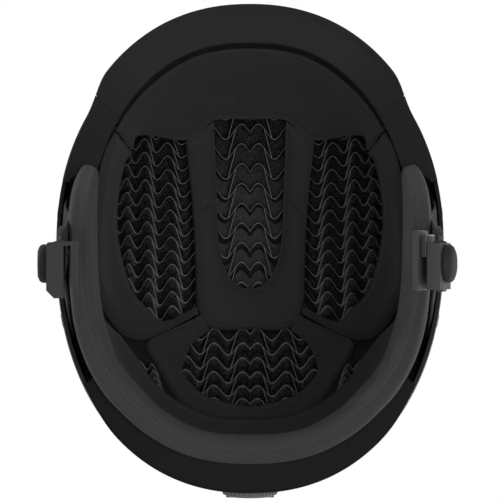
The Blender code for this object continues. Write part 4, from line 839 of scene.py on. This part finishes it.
def cushion(name, first, second, nodes, creases=(), bands=28):
    """A pad between two edges of the flat pattern: a sewn lip, a groove beside it and a full middle."""
    rows = len(first)
    share = (1 - np.cos(np.linspace(0, math.pi, bands + 1))) / 2
    wide = np.linalg.norm(second - first, axis=1)
    along = np.concatenate([[0], np.cumsum(np.linalg.norm(np.diff((first + second) / 2, axis=0), axis=1))])
    grids = [[], []]
    for i in range(rows):
        spots = first[i] * (1 - share[:, None]) + second[i] * share[:, None]
        edge = np.minimum(np.minimum(share, 1 - share) * wide[i], min(along[i], along[-1] - along[i]))
        lip = LIP_RISE * np.clip(1 - ((edge - LIP_MIDDLE) / LIP_HALF) ** 2, 0, 1) ** 0.5
        rise = np.maximum(lip, 1 - np.exp(-np.maximum(edge - GROOVE, 0) / SWELL))
        for crease in creases:
            away = (along[i] / along[-1] - crease) * along[-1] / CREASE_HALF
            rise = rise * (1 - CREASE_DEPTH * math.exp(-away**2))
        aims = aim_at(spots)
        grids[0].append(in_wall(aims, PAD_GROOVE + (PAD_FACE - PAD_GROOVE) * rise))
        grids[1].append(in_wall(aims, PAD_BACK))
    count = rows * (bands + 1)
    faces = skin_faces(rows, bands + 1) + skin_faces(rows, bands + 1, start=count)
    for i in range(rows - 1):
        for j in (0, bands):
            a, b = i * (bands + 1) + j, (i + 1) * (bands + 1) + j
            faces.append((a, b, count + b, count + a))
    for i in (0, rows - 1):
        for j in range(bands):
            a = i * (bands + 1) + j
            faces.append((a, a + 1, count + a + 1, count + a))
    made = mesh_piece(name, np.array(grids).reshape(-1, 3), faces, LINER_CLOTH, crease=60)
    fasten(made, "helmet", nodes)
    return made


# Keys of the pads' edges on the flat pattern, in millimetres right of and behind the crown
brow_back = [(-112, -95), (-90, -70.5), (-83.5, -79), (-42.5, -67.5), (-24, -79.5), (0, -80)]
brow_front = rim_spots([-50.5, -44, -37, -19, -9, 0], 9 * MM)
cushion("forehead_cushion", both_sides(brow_front), both_sides(brow_back), ["forehead_pad"])
crown_out = [(-41.8, -66.8), (-37.6, -26), (-35.3, 13), (-33.2, 39), (-25, 53.2), (0, 54.2)]
crown_in = [(-23.4, -77.6), (-22, -36), (-21.2, -6), (-17.5, 14.5), (-9.5, 27), (0, 30)]
cushion("crown_cushion", both_sides(crown_out, CROWN_STEPS), both_sides(crown_in, CROWN_STEPS), ["crown_pad"],
        creases=(0.185, 0.815))
side_window = [(-89, -67.6), (-98.5, -60), (-107, -30), (-105.7, -1.5), (-90, 32.5), (-72, 46), (-57.5, 53),
               (-34.3, 41.8)]
side_lower = rim_spots([-51, -59, -72, -88, -104], np.array((8, 6, 3.5, 2.5, 2.5)) * MM)
side_lower += [(-103.5, 65.4), (-72.2, 66.2), (-33.4, 45.6)]
for side, label in ((-1, "left"), (1, "right")):
    flip = np.array((-side, 1))
    upper, lower = spread(side_window, PAD_STEPS) * flip, spread(side_lower, PAD_STEPS) * flip
    cushion(f"side_cushion_{label}", upper, lower, [f"side_pad_{label}"])
rear_window = [(-26, 55.5), (-36, 63.5), (-43.5, 79), (-42.8, 88), (-31, 100), (-14.5, 106), (0, 109)]
rear_out = [(-31.2, 46.8), (-57, 60.6), (-70.3, 69.6), (-61.5, 83.2), (-43.8, 109), (-24, 116.6), (0, 118.8)]
cushion("rear_cushion", both_sides(rear_window), both_sides(rear_out), ["rear_pad"])
nape_up = [(-104, 72.6), (-83.5, 83.8), (-66, 100.4), (-45, 111.8), (-24, 119), (0, 120.8)]
nape_low = rim_spots([-116, -128, -141, -155, -168, -180], 2.5 * MM)
nape_low[-1] = (0, nape_low[-1][1])
cushion("nape_cushion", both_sides(nape_up), both_sides(nape_low), ["nape_pad"])

# Ear pads and neck roll: soft knit-covered foam that snaps to the liner and closes it round ears and neck.
# They meet in one band, and a row of stitches along its lower edge draws the knit in between two ridges.
# The knit lies along the band and round it; its lattice is cut at one place of its third wave
KNIT_LOOPS = 5200.0
KNIT_PHASE = math.pi / 4 / KNIT_LOOPS
KNIT = fabric("ear_knit", (0.038, 0.038, 0.0385), KNIT_LOOPS, 0.26, 0.25, 0.35, laid="knit")
RING, BLOW_FRAMES = 44, 20


def pillow_ring(middle, outwards, half, low, high, lean, soft):
    """Cross-section of a padded roll, whose inner side leans off the head and is round where soft is 1."""
    turn = math.pi / 2 + np.linspace(0, 2 * math.pi, RING, endpoint=False)
    inner = np.cos(turn) < 0
    a = np.sign(np.cos(turn)) * np.abs(np.cos(turn)) ** np.where(inner, 0.7 + 0.3 * soft, 0.5)
    b = np.sign(np.sin(turn)) * np.abs(np.sin(turn)) ** np.where(inner, 0.76 + 0.24 * soft, 0.6)
    across = half * a + lean * np.maximum(0, -a) * (b + 1) / 2
    level = np.asarray(middle) + np.outer(across, outwards)
    return np.column_stack([level, (low + high) / 2 + (high - low) / 2 * b])


def plump(made, held, cap, pressure=4.0):
    """Blow a sewn cover up from inside; held points stay still, and no point moves further than cap."""
    start = np.array([v.co for v in made.data.vertices])
    sewn = made.vertex_groups.new(name="sewn")
    sewn.add([int(k) for k in held], 1.0, "REPLACE")
    blow = made.modifiers.new("blow", "CLOTH")
    blow.settings.use_pressure = True
    blow.settings.uniform_pressure_force = pressure
    blow.settings.effector_weights.gravity = 0.0
    blow.settings.vertex_group_mass = "sewn"
    blow.settings.quality = 4
    blow.settings.bending_stiffness = 0.05
    blow.collision_settings.use_collision = False
    for number in range(1, BLOW_FRAMES + 1):
        stage_scene.frame_set(number)
    bake(made)
    made.vertex_groups.clear()
    stage_scene.frame_set(1)
    end = np.array([v.co for v in made.data.vertices])
    move = end - start
    far = np.linalg.norm(move, axis=1, keepdims=True)
    placed = start + move * np.minimum(1.0, cap / np.maximum(far, 1e-9))
    made.data.vertices.foreach_set("co", placed.ravel())
    made.data.update()
    return made


# Left half from the ear's front to the middle of the neck, in millimetres:
# distance from the middle line, place along the head, lower edge, upper edge, half thickness and inner lean
BAND_STATIONS = [
    (-91.6, -49, 18, 29, 3.4, 2.0), (-92.4, -46, 7, 33, 5.6, 4.0), (-93.0, -39, -10, 35, 7.2, 5.1),
    (-93.4, -29, -27, 35.5, 8.0, 5.5), (-93.4, -16, -39, 35.5, 8.3, 5.5), (-92.9, -2, -45, 35.5, 8.3, 5.5),
    (-92.5, 12, -46, 35.5, 8.3, 5.5), (-91.8, 25, -42, 35.5, 8.5, 5.5), (-90.6, 38, -31, 34, 8.9, 5.4),
    (-88.0, 50, -22, 29, 9.2, 5.2), (-83.6, 62, -18, 21, 9.2, 5.0), (-77.2, 73, -15, 15, 9.3, 4.6),
    (-69.8, 82, -13, 12, 9.4, 4.2), (-54.8, 96.4, -10, 11, 9.2, 3.8), (-37.0, 107, -8, 11, 8.9, 3.6),
    (-19.0, 112, -6.5, 11, 8.8, 3.4), (0, 113.2, -6, 11, 8.8, 3.4),
]
line = spread(BAND_STATIONS + [(-key[0], *key[1:]) for key in reversed(BAND_STATIONS[:-1])], 6) * MM
rings = []
for k, (x, y, low, high, half, lean) in enumerate(line):
    ahead = line[min(k + 1, len(line) - 1), :2] - line[max(k - 1, 0), :2]
    outwards = np.array((-ahead[1], ahead[0])) / np.linalg.norm(ahead)
    rings.append(pillow_ring((x, y), outwards, half, low, high, lean, ease((y / MM - 45) / 35)))
rings = np.array(rings)
# The seam draws the lowest point of each ring up, and its neighbours less
SEAM_DRAW, SEAM_SHARE = 2.2 * MM, 0.06
lowest = RING // 2
tall = rings[:, :, 2].max(1) - rings[:, :, 2].min(1)
for shift, share in ((0, 1.0), (1, 0.45), (-1, 0.45)):
    rings[:, lowest + shift, 2] += np.minimum(SEAM_DRAW, SEAM_SHARE * tall) * share
band_seam = rings[:, lowest]
band = loft("ear_and_neck_band", rings, KNIT, crease=75)
along = np.concatenate([[0], np.cumsum(np.linalg.norm(np.diff(rings[:, lowest], axis=0), axis=1))])
around = np.cumsum(np.linalg.norm(np.diff(rings, axis=1, prepend=rings[:, :1]), axis=2), axis=1)
around -= around[:, lowest:lowest + 1]
laid = [np.broadcast_to(along[:, None], around.shape), around, np.full(around.shape, KNIT_PHASE)]
knit = band.data.attributes.new("knit", "FLOAT_VECTOR", "POINT")
knit.data.foreach_set("vector", np.stack(laid, -1).ravel())
SAME_SPOT, FULLNESS = 1e-5, 0.9 * MM
drawn = []
for number, vertex in enumerate(band.data.vertices):
    if np.min(np.linalg.norm(band_seam - vertex.co, axis=1)) < SAME_SPOT:
        drawn.append(number)
plump(band, drawn, FULLNESS)
smooth = band.modifiers.new("smooth", "SUBSURF")
smooth.levels = 1
bake(band)
band.data.shade_smooth()
fasten(band, "helmet", ["ear_pad_left", "neck_roll", "ear_pad_right"])

# Stitches: short capsules of thread at an even pitch along a seam
stitch, ins, outs = new_nodes("seam_stitches", [
    ("Geometry", "NodeSocketGeometry", None), ("Pitch", "NodeSocketFloat", 0.0028),
    ("Length", "NodeSocketFloat", 0.0018), ("Thread", "NodeSocketFloat", 0.0003),
    ("Finish", "NodeSocketMaterial", None)])
pin = ins.outputs
route = put(stitch, "GeometryNodeMeshToCurve", [("Mesh", pin["Geometry"])])
even = put(stitch, "GeometryNodeResampleCurve", [("Curve", route.outputs[0]), ("Length", pin["Pitch"])],
           mode="LENGTH")
thread = put(stitch, "GeometryNodeMeshCylinder", [
    ("Vertices", 8), ("Side Segments", 1), ("Radius", pin["Thread"]), ("Depth", pin["Length"])])
ahead = put(stitch, "GeometryNodeInputTangent").outputs[0]
facing = put(stitch, "FunctionNodeAlignRotationToVector", [("Vector", ahead)], axis="Z")
many = put(stitch, "GeometryNodeInstanceOnPoints", [
    ("Points", even.outputs[0]), ("Instance", thread.outputs[0]), ("Rotation", facing.outputs[0])])
real = put(stitch, "GeometryNodeRealizeInstances", [("Geometry", many.outputs[0])])
painted = put(stitch, "GeometryNodeSetMaterial", [("Geometry", real.outputs[0]), ("Material", pin["Finish"])])
stitch.links.new(painted.outputs[0], outs.inputs[0])
STITCH_INPUTS = {item.name: item.identifier for item in stitch.interface.items_tree if item.in_out == "INPUT"}
THREAD = fabric("sewing_thread", (0.060, 0.060, 0.061), 9000.0, 0.2, 0.1, 0.2)


def sew(name, lines, body, pitch=2.8 * MM):
    """Rows of stitches along lines of points, on one body."""
    points, edges = [], []
    for line in lines:
        start = len(points)
        points += [tuple(p) for p in line]
        edges += [(start + k, start + k + 1) for k in range(len(line) - 1)]
    mesh = bpy.data.meshes.new(name)
    mesh.from_pydata(points, edges, [])
    made = bpy.data.objects.new(name, mesh)
    stage_scene.collection.objects.link(made)
    step = made.modifiers.new("stitches", "NODES")
    step.node_group = stitch
    step[STITCH_INPUTS["Pitch"]] = pitch
    step[STITCH_INPUTS["Length"]] = 0.62 * pitch
    step[STITCH_INPUTS["Finish"]] = THREAD
    bake(made)
    return fasten(made, body)


sew("band_stitches", [band_seam[4:-4] - np.array((0, 0, 0.25 * MM))], "helmet")

# Fit dial and its drive: a soft-touch knob behind the neck turns a pinion between the fit bands' racks.
# Only the knob's grip shows from below; the housing, bands and screws lie behind the nape pad.
DIAL_RADIUS, DIAL_BACK, DIAL_FACE, DIAL_GRIPS = 16.2 * MM, 136.4 * MM, 143.4 * MM, 36
DIAL_GREY = moulded("dial_grey", (0.115, 0.115, 0.117), 0.6, specular=0.25, bump=0.15)
FITTING_BLACK = moulded("fitting_black", (0.0135, 0.0135, 0.0137), 0.5, specular=0.2)
STEEL = moulded("plain_steel", (0.42, 0.42, 0.43), 0.35, specular=0.5, drift=0.05, metallic=1.0)
# The knob's profile: shares of its radius, and places along its axis
profile = [
    (0.30, DIAL_BACK + 0.2 * MM), (0.93, DIAL_BACK), (0.965, DIAL_BACK + 0.9 * MM),
    (0.965, DIAL_FACE - 2.4 * MM), (0.90, DIAL_FACE - 0.4 * MM), (0.85, DIAL_FACE),
    (0.80, DIAL_FACE - 0.2 * MM), (0.72, DIAL_FACE - 0.9 * MM), (0.30, DIAL_FACE - 1.1 * MM),
]
spin = np.linspace(0, 2 * math.pi, 144, endpoint=False)
rings = []
for share, y in profile:
    radius = DIAL_RADIUS * share
    rings.append(np.stack([radius * np.cos(spin), np.full(len(spin), y), DIAL_Z + radius * np.sin(spin)], -1))
knob = loft("dial_knob", rings, DIAL_GREY, crease=28)
grip = mesh_piece("grip_rib", [(0, 0, 0)], [], DIAL_GREY)
ribs, ins, outs = new_nodes("grip_ribs", [
    ("Count", "NodeSocketInt", 18), ("Radius", "NodeSocketFloat", 0.016), ("Rib", "NodeSocketFloat", 0.0011),
    ("Length", "NodeSocketFloat", 0.006), ("Finish", "NodeSocketMaterial", None)])
pin = ins.outputs
circle = put(ribs, "GeometryNodeMeshCircle", [("Vertices", pin["Count"]), ("Radius", pin["Radius"])])
ball = put(ribs, "GeometryNodeMeshUVSphere", [("Segments", 16), ("Rings", 10), ("Radius", 1.0)])
stretch = put(ribs, "ShaderNodeCombineXYZ", [
    (0, pin["Rib"]), (1, pin["Rib"]), (2, maths(ribs, "MULTIPLY", pin["Length"], 0.5))])
ovals = put(ribs, "GeometryNodeTransform", [("Geometry", ball.outputs[0]), ("Scale", stretch.outputs[0])])
many = put(ribs, "GeometryNodeInstanceOnPoints",
           [("Points", circle.outputs[0]), ("Instance", ovals.outputs[0])])
real = put(ribs, "GeometryNodeRealizeInstances", [("Geometry", many.outputs[0])])
painted = put(ribs, "GeometryNodeSetMaterial", [("Geometry", real.outputs[0]), ("Material", pin["Finish"])])
ribs.links.new(painted.outputs[0], outs.inputs[0])
RIB_INPUTS = {item.name: item.identifier for item in ribs.interface.items_tree if item.in_out == "INPUT"}
step = grip.modifiers.new("ribs", "NODES")
step.node_group = ribs
for label, value in (("Count", DIAL_GRIPS), ("Radius", 0.958 * DIAL_RADIUS), ("Rib", 0.9 * MM),
                     ("Length", 6.6 * MM), ("Finish", DIAL_GREY)):
    step[RIB_INPUTS[label]] = value
bake(grip)
grip_middle = Matrix.Translation((0, (DIAL_BACK + DIAL_FACE) / 2 - 0.6 * MM, DIAL_Z))
grip.data.transform(grip_middle @ Matrix.Rotation(math.pi / 2, 4, "X"))
grip.data.shade_smooth()
fasten(grip, "dial")
fasten(knob, "dial", ["fit_dial"])
for node in ("dial_housing", "housing_cover", "dial_pinion", "dial_screw", "fit_band_left", "fit_band_right"):
    repaint(node, FITTING_BLACK)
for node in ("housing_screw_left", "housing_screw_right", "socket_magnet", "plug_magnet", "goggle_clip_pin"):
    repaint(node, STEEL)

# Chin strap: flat woven webbing, two legs a side from rivets in the shell to the strap with the buckle.
# The legs meet in a sewn sleeve. The strap runs round the buckle's bar, held doubled by an elastic keeper.
WEB, CHIN_WEB, WEB_WIDTH, LEG_LAYER = 1.5 * MM, 1.3 * MM, 16 * MM, 0.95 * MM
KEEPER_WEB, KEEPER_WIDTH = 0.8 * MM, 5 * MM
STRAP_PIVOT, BUCKLE_BAR = Vector((102.0, -3, -54)) * MM, Vector((101.4, 9, -86)) * MM
# Rivets: place along the head, height, and how far out the leg lies at its foot
RIVET_SPOTS = {"front": (-22 * MM, 28 * MM, -LEG_LAYER), "rear": (41 * MM, 17 * MM, LEG_LAYER)}

weave, ins, outs = new_group(
    "webbing_weave",
    [("Colour", "NodeSocketColor", (0.04, 0.04, 0.04, 1)), ("Pick", "NodeSocketFloat", 0.0013),
     ("Chevron", "NodeSocketFloat", 0.005), ("Depth", "NodeSocketFloat", 0.5)],
    [("Colour", "NodeSocketColor"), ("Height", "NodeSocketFloat")],
)
place = put(weave, "ShaderNodeAttribute", attribute_name="weave").outputs["Vector"]
along, across, _ = put(weave, "ShaderNodeSeparateXYZ", [(0, place)]).outputs
run = maths(weave, "DIVIDE", along, ins.outputs["Pick"])
zigzag = maths(weave, "PINGPONG", maths(weave, "DIVIDE", across, ins.outputs["Chevron"]), 0.5)
slant = maths(weave, "ADD", run, maths(weave, "MULTIPLY", zigzag, 3.0))
twill = maths(weave, "ABSOLUTE", maths(weave, "SINE", maths(weave, "MULTIPLY", slant, math.pi)))
shade = maths(weave, "SUBTRACT", 1.0, ins.outputs["Depth"])
shade = maths(weave, "ADD", shade, maths(weave, "MULTIPLY", twill, ins.outputs["Depth"]))
tinted = put(weave, "ShaderNodeVectorMath", [(0, ins.outputs["Colour"]), ("Scale", shade)], operation="SCALE")
weave.links.new(tinted.outputs[0], outs.inputs["Colour"])
weave.links.new(twill, outs.inputs["Height"])


def woven(name, colour, pick, chevron):
    """Woven webbing or elastic whose ribs follow the strap."""
    made, tree, shader = new_finish(name)
    look = put(tree, "ShaderNodeGroup", [("Colour", (*colour, 1)), ("Pick", pick), ("Chevron", chevron)],
               node_tree=weave)
    tree.links.new(look.outputs["Colour"], shader.inputs["Base Color"])
    emboss(tree, shader, look.outputs["Height"], 0.6)
    shader.inputs["Roughness"].default_value = 0.72
    shader.inputs["Specular IOR Level"].default_value = 0.06
    shader.inputs["Sheen Weight"].default_value = 0.02
    return made


WEBBING = woven("webbing", (0.030, 0.030, 0.031), 1.3 * MM, 5.0 * MM)
CHIN_WEBBING = woven("chin_webbing", (0.090, 0.090, 0.092), 1.3 * MM, 5.0 * MM)
ELASTIC = woven("keeper_elastic", (0.030, 0.030, 0.031), 0.9 * MM, 60.0 * MM)
# Cross-section with soft edges, in shares of the half width and the half thickness
SELVEDGE = [(-1, 0), (-0.985, 0.75), (-0.95, 1), (-0.6, 1), (-0.2, 1)]
SELVEDGE += [(-a, h) for a, h in reversed(SELVEDGE)]
SELVEDGE += [(a, -h) for a, h in reversed(SELVEDGE[1:-1])]
# The sewn sleeve, in millimetres down from the frame's zero level, and the heights between which it bends
SLEEVE_TOP, SLEEVE_LENGTH = 46, 16


def strip(name, middles, widths, thick, finish, closed=False):
    """Webbing swept along points with its width along given vectors, and soft edges."""
    middles, widths = np.asarray(middles), np.asarray(widths)
    last = len(middles) - 1
    rings, marks, along = [], [], 0.0
    for k, (middle, width) in enumerate(zip(middles, widths)):
        if closed:
            ahead = middles[(k + 1) % len(middles)] - middles[k - 1]
        else:
            ahead = middles[min(k + 1, last)] - middles[max(k - 1, 0)]
        face = np.cross(ahead, width)
        face *= thick / 2 / np.linalg.norm(face)
        along += np.linalg.norm(middle - middles[k - 1]) if k else 0.0
        rings.append([middle + width / 2 * a + face * h for a, h in SELVEDGE])
        marks += [(along, np.linalg.norm(width) / 2 * a, 0) for a, _ in SELVEDGE]
    made = loft(name, rings, finish, closed=closed, crease=50)
    made.data.attributes.new("weave", "FLOAT_VECTOR", "POINT").data.foreach_set("vector", np.ravel(marks))
    return made


for side, label in ((-1, "left"), (1, "right")):
    for end, (y, z, layer) in RIVET_SPOTS.items():
        power, far = DOME_OUT["power"], DOME_OUT["front"] if y < 0 else DOME_OUT["rear"]
        shares = (abs(y) / far, abs(z - DOME_OUT["z"]) / DOME_OUT["down"])
        level = (1 - shares[0] ** power - shares[1] ** power) ** (1 / power)
        out = Vector((side * level ** (power - 1) / DOME_OUT["side"],
                      math.copysign(shares[0] ** (power - 1) / far, y),
                      -shares[1] ** (power - 1) / DOME_OUT["down"])).normalized()
        top = Vector((side * DOME_OUT["side"] * level, y, z)) - out * (SHELL_WALL + 2.2 * MM)
        foot = Vector((side * (STRAP_PIVOT.x + layer), STRAP_PIVOT.y, STRAP_PIVOT.z + 1.0 * MM))
        down = (foot - top).normalized()
        down = (down - out * down.dot(out)).normalized()
        width = out.cross(down).normalized()
        width = width if width.y > 0 else -width
        leave = top + down * 13 * MM
        middles = [top - down * 6.5 * MM, top, leave]
        widths = [width * WEB_WIDTH] * 3
        for share in np.arange(1, 7) / 6:
            middle = leave.lerp(foot, share)
            middle.x = leave.x + (foot.x - leave.x) * float(ease(1.9 * share))
            middles.append(middle)
            twist = float(ease(share))
            widths.append((width * (1 - twist) + Vector((0, 1, 0)) * twist).normalized() * WEB_WIDTH)
        leg = strip(f"yoke_leg_{label}_{end}", spread(middles, 6), spread(widths, 6), WEB, WEBBING)
        fasten(leg, "helmet", [f"strap_{label}_{end}"])
        repaint(f"strap_rivet_{label}_{end}", FITTING_BLACK)

    loop, rise = 3.3 * MM, STRAP_PIVOT.z - BUCKLE_BAR.z - 0.7 * MM
    # The strap's path round the bar: inwards from it and up from it
    path = [(-0.4 * MM, rise), (-0.5 * MM, rise * 0.75), (-1.9 * MM, rise * 0.4), (-loop, 2.5 * MM)]
    path += [(-loop * math.cos(a), -loop * math.sin(a)) for a in np.linspace(0, math.pi, 9)]
    path += [(loop, 2.5 * MM), (2.2 * MM, 9 * MM), (1.2 * MM, 16 * MM)]
    middles = []
    for inwards, up in spread(path, 4):
        lean = (STRAP_PIVOT.y - BUCKLE_BAR.y) * max(0.0, up) / rise
        middles.append((side * (BUCKLE_BAR.x - inwards), BUCKLE_BAR.y + lean, BUCKLE_BAR.z + up))
    widths = [(0, WEB_WIDTH, 0)] * len(middles)
    lower = strip(f"buckle_strap_{label}", middles, widths, CHIN_WEB, CHIN_WEBBING)
    fasten(lower, f"strap_{label}", [f"chin_strap_{label}"])

    turn = np.linspace(0, 2 * math.pi, 48, endpoint=False)
    sides = np.sign(np.cos(turn)) * np.abs(np.cos(turn)) ** 0.35 * 3.2 * MM
    ends = np.sign(np.sin(turn)) * np.abs(np.sin(turn)) ** 0.25 * (WEB_WIDTH / 2 + 0.7 * MM)
    level = np.full(len(turn), BUCKLE_BAR.z + 12 * MM)
    route = np.stack([side * BUCKLE_BAR.x + sides, BUCKLE_BAR.y - 4.7 * MM + ends, level], -1)
    widths = [(0, 0, KEEPER_WIDTH)] * len(turn)
    keeper = strip(f"elastic_keeper_{label}", route, widths, KEEPER_WEB, ELASTIC, closed=True)
    fasten(keeper, f"strap_{label}", [f"strap_keeper_{label}"])

    rings, marks = [], []
    for share in np.linspace(0, 1, 17):
        z = (-SLEEVE_TOP - SLEEVE_LENGTH * share) * MM
        middle_y = STRAP_PIVOT.y + (1.4 * (1 - ease(2 * share)) + 3.2 * max(0, 2 * share - 1)) * MM
        half_y = (8.9 + 2.6 * (1 - ease(2 * share))) * MM
        half_x = (2.6 - 0.9 * ease(2 * share - 0.8)) * MM
        plump_end = 1 - 0.25 * max(0, abs(2 * share - 1) - 0.85) / 0.15
        bow = np.linspace(0, 2 * math.pi, 40, endpoint=False)
        a = np.sign(np.cos(bow)) * np.abs(np.cos(bow)) ** 0.4 * half_x * plump_end
        b = np.sign(np.sin(bow)) * np.abs(np.sin(bow)) ** 0.2 * half_y
        rings.append(np.stack([side * STRAP_PIVOT.x + a, middle_y + b, np.full(40, z)], -1))
        marks += [(SLEEVE_LENGTH * MM * share, across, 0) for across in b]
    sleeve = loft(f"yoke_sleeve_{label}", rings, WEBBING, crease=50)
    sleeve.data.attributes.new("weave", "FLOAT_VECTOR", "POINT").data.foreach_set("vector", np.ravel(marks))
    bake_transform(sleeve)

# Buckle: a socket on one strap and a plug with a sliding latch on the other, in satin dark grey plastic.
# Each half has a round housing outside that holds a magnet, which pulls the halves together.
BUCKLE_GREY = moulded("buckle_grey", (0.030, 0.030, 0.031), 0.65, specular=0.14, bump=0.08)
# Painted shade: the magnet housings take a darker copy of the same buckle plastic.
PUCK_SHADED_GREY = moulded("buckle_puck_grey", (0.020, 0.020, 0.0205), 0.7, specular=0.1, bump=0.08)
# Painted light: the plug takes a lighter copy of the same buckle plastic, as where the light falls on it.
PLUG_LIT_GREY = moulded("buckle_plug_grey", (0.042, 0.042, 0.043), 0.65, specular=0.14, bump=0.08)
# Painted highlight: a lighter grey for the buckle's bevelled edges, as where they catch the light.
BUCKLE_EDGE_HIGHLIGHT = moulded("buckle_rubbed_edge", (0.060, 0.060, 0.061), 0.5, specular=0.2, bump=0.05)


def dressed(node, name, finish, body, width, edge_paint=None, flat=None):
    """Bevelled copy of a node of the frame; its bevels may take a second grey, a painted highlight, and its
    back a flat.
    """
    mesh = NODES[node].data.copy()
    mesh.transform(NODES[node].matrix_world)
    mesh.materials.clear()
    mesh.materials.append(finish)
    if edge_paint is not None:
        mesh.materials.append(edge_paint)
    work = bmesh.new()
    work.from_mesh(mesh)
    bmesh.ops.remove_doubles(work, verts=work.verts, dist=1e-6)
    if flat is not None:
        for vertex in work.verts:
            vertex.co.y = min(vertex.co.y, flat)
    bmesh.ops.dissolve_limit(work, angle_limit=math.radians(1), verts=work.verts, edges=work.edges)
    work.to_mesh(mesh)
    work.free()
    made = bpy.data.objects.new(name, mesh)
    stage_scene.collection.objects.link(made)
    round_off = made.modifiers.new("edges", "BEVEL")
    round_off.width = width
    round_off.segments = 2
    round_off.limit_method = "ANGLE"
    round_off.angle_limit = math.radians(30)
    round_off.material = 0 if edge_paint is None else 1
    bake(made)
    made.data.shade_smooth()
    made.data.set_sharp_from_angle(angle=math.radians(28))
    return fasten(made, body, [node])


for node, name, body, finish, edge in (
    ("buckle_socket", "socket_body", "buckle_left", BUCKLE_GREY, BUCKLE_EDGE_HIGHLIGHT),
    ("socket_puck", "socket_housing", "buckle_left", PUCK_SHADED_GREY, PUCK_SHADED_GREY),
    ("buckle_plug", "plug_body", "buckle_right", PLUG_LIT_GREY, BUCKLE_EDGE_HIGHLIGHT),
    ("plug_puck", "plug_housing", "buckle_right", PUCK_SHADED_GREY, PUCK_SHADED_GREY),
    ("buckle_latch", "plug_latch", "latch", BUCKLE_GREY, BUCKLE_EDGE_HIGHLIGHT),
):
    dressed(node, name, finish, body, 0.5 * MM, edge_paint=edge)

# Goggle clip: a plate on the back of the shell with a hinged lever that holds a goggle strap down.
# Both are black mouldings on a steel pin. Their knuckles are flat behind.
CLIP_BACK = 148.3 * MM
dressed("goggle_clip_base", "clip_plate", FITTING_BLACK, "helmet", 0.5 * MM, flat=CLIP_BACK)
dressed("goggle_lever", "clip_lever_cover", FITTING_BLACK, "clip_lever", 0.7 * MM, flat=CLIP_BACK)
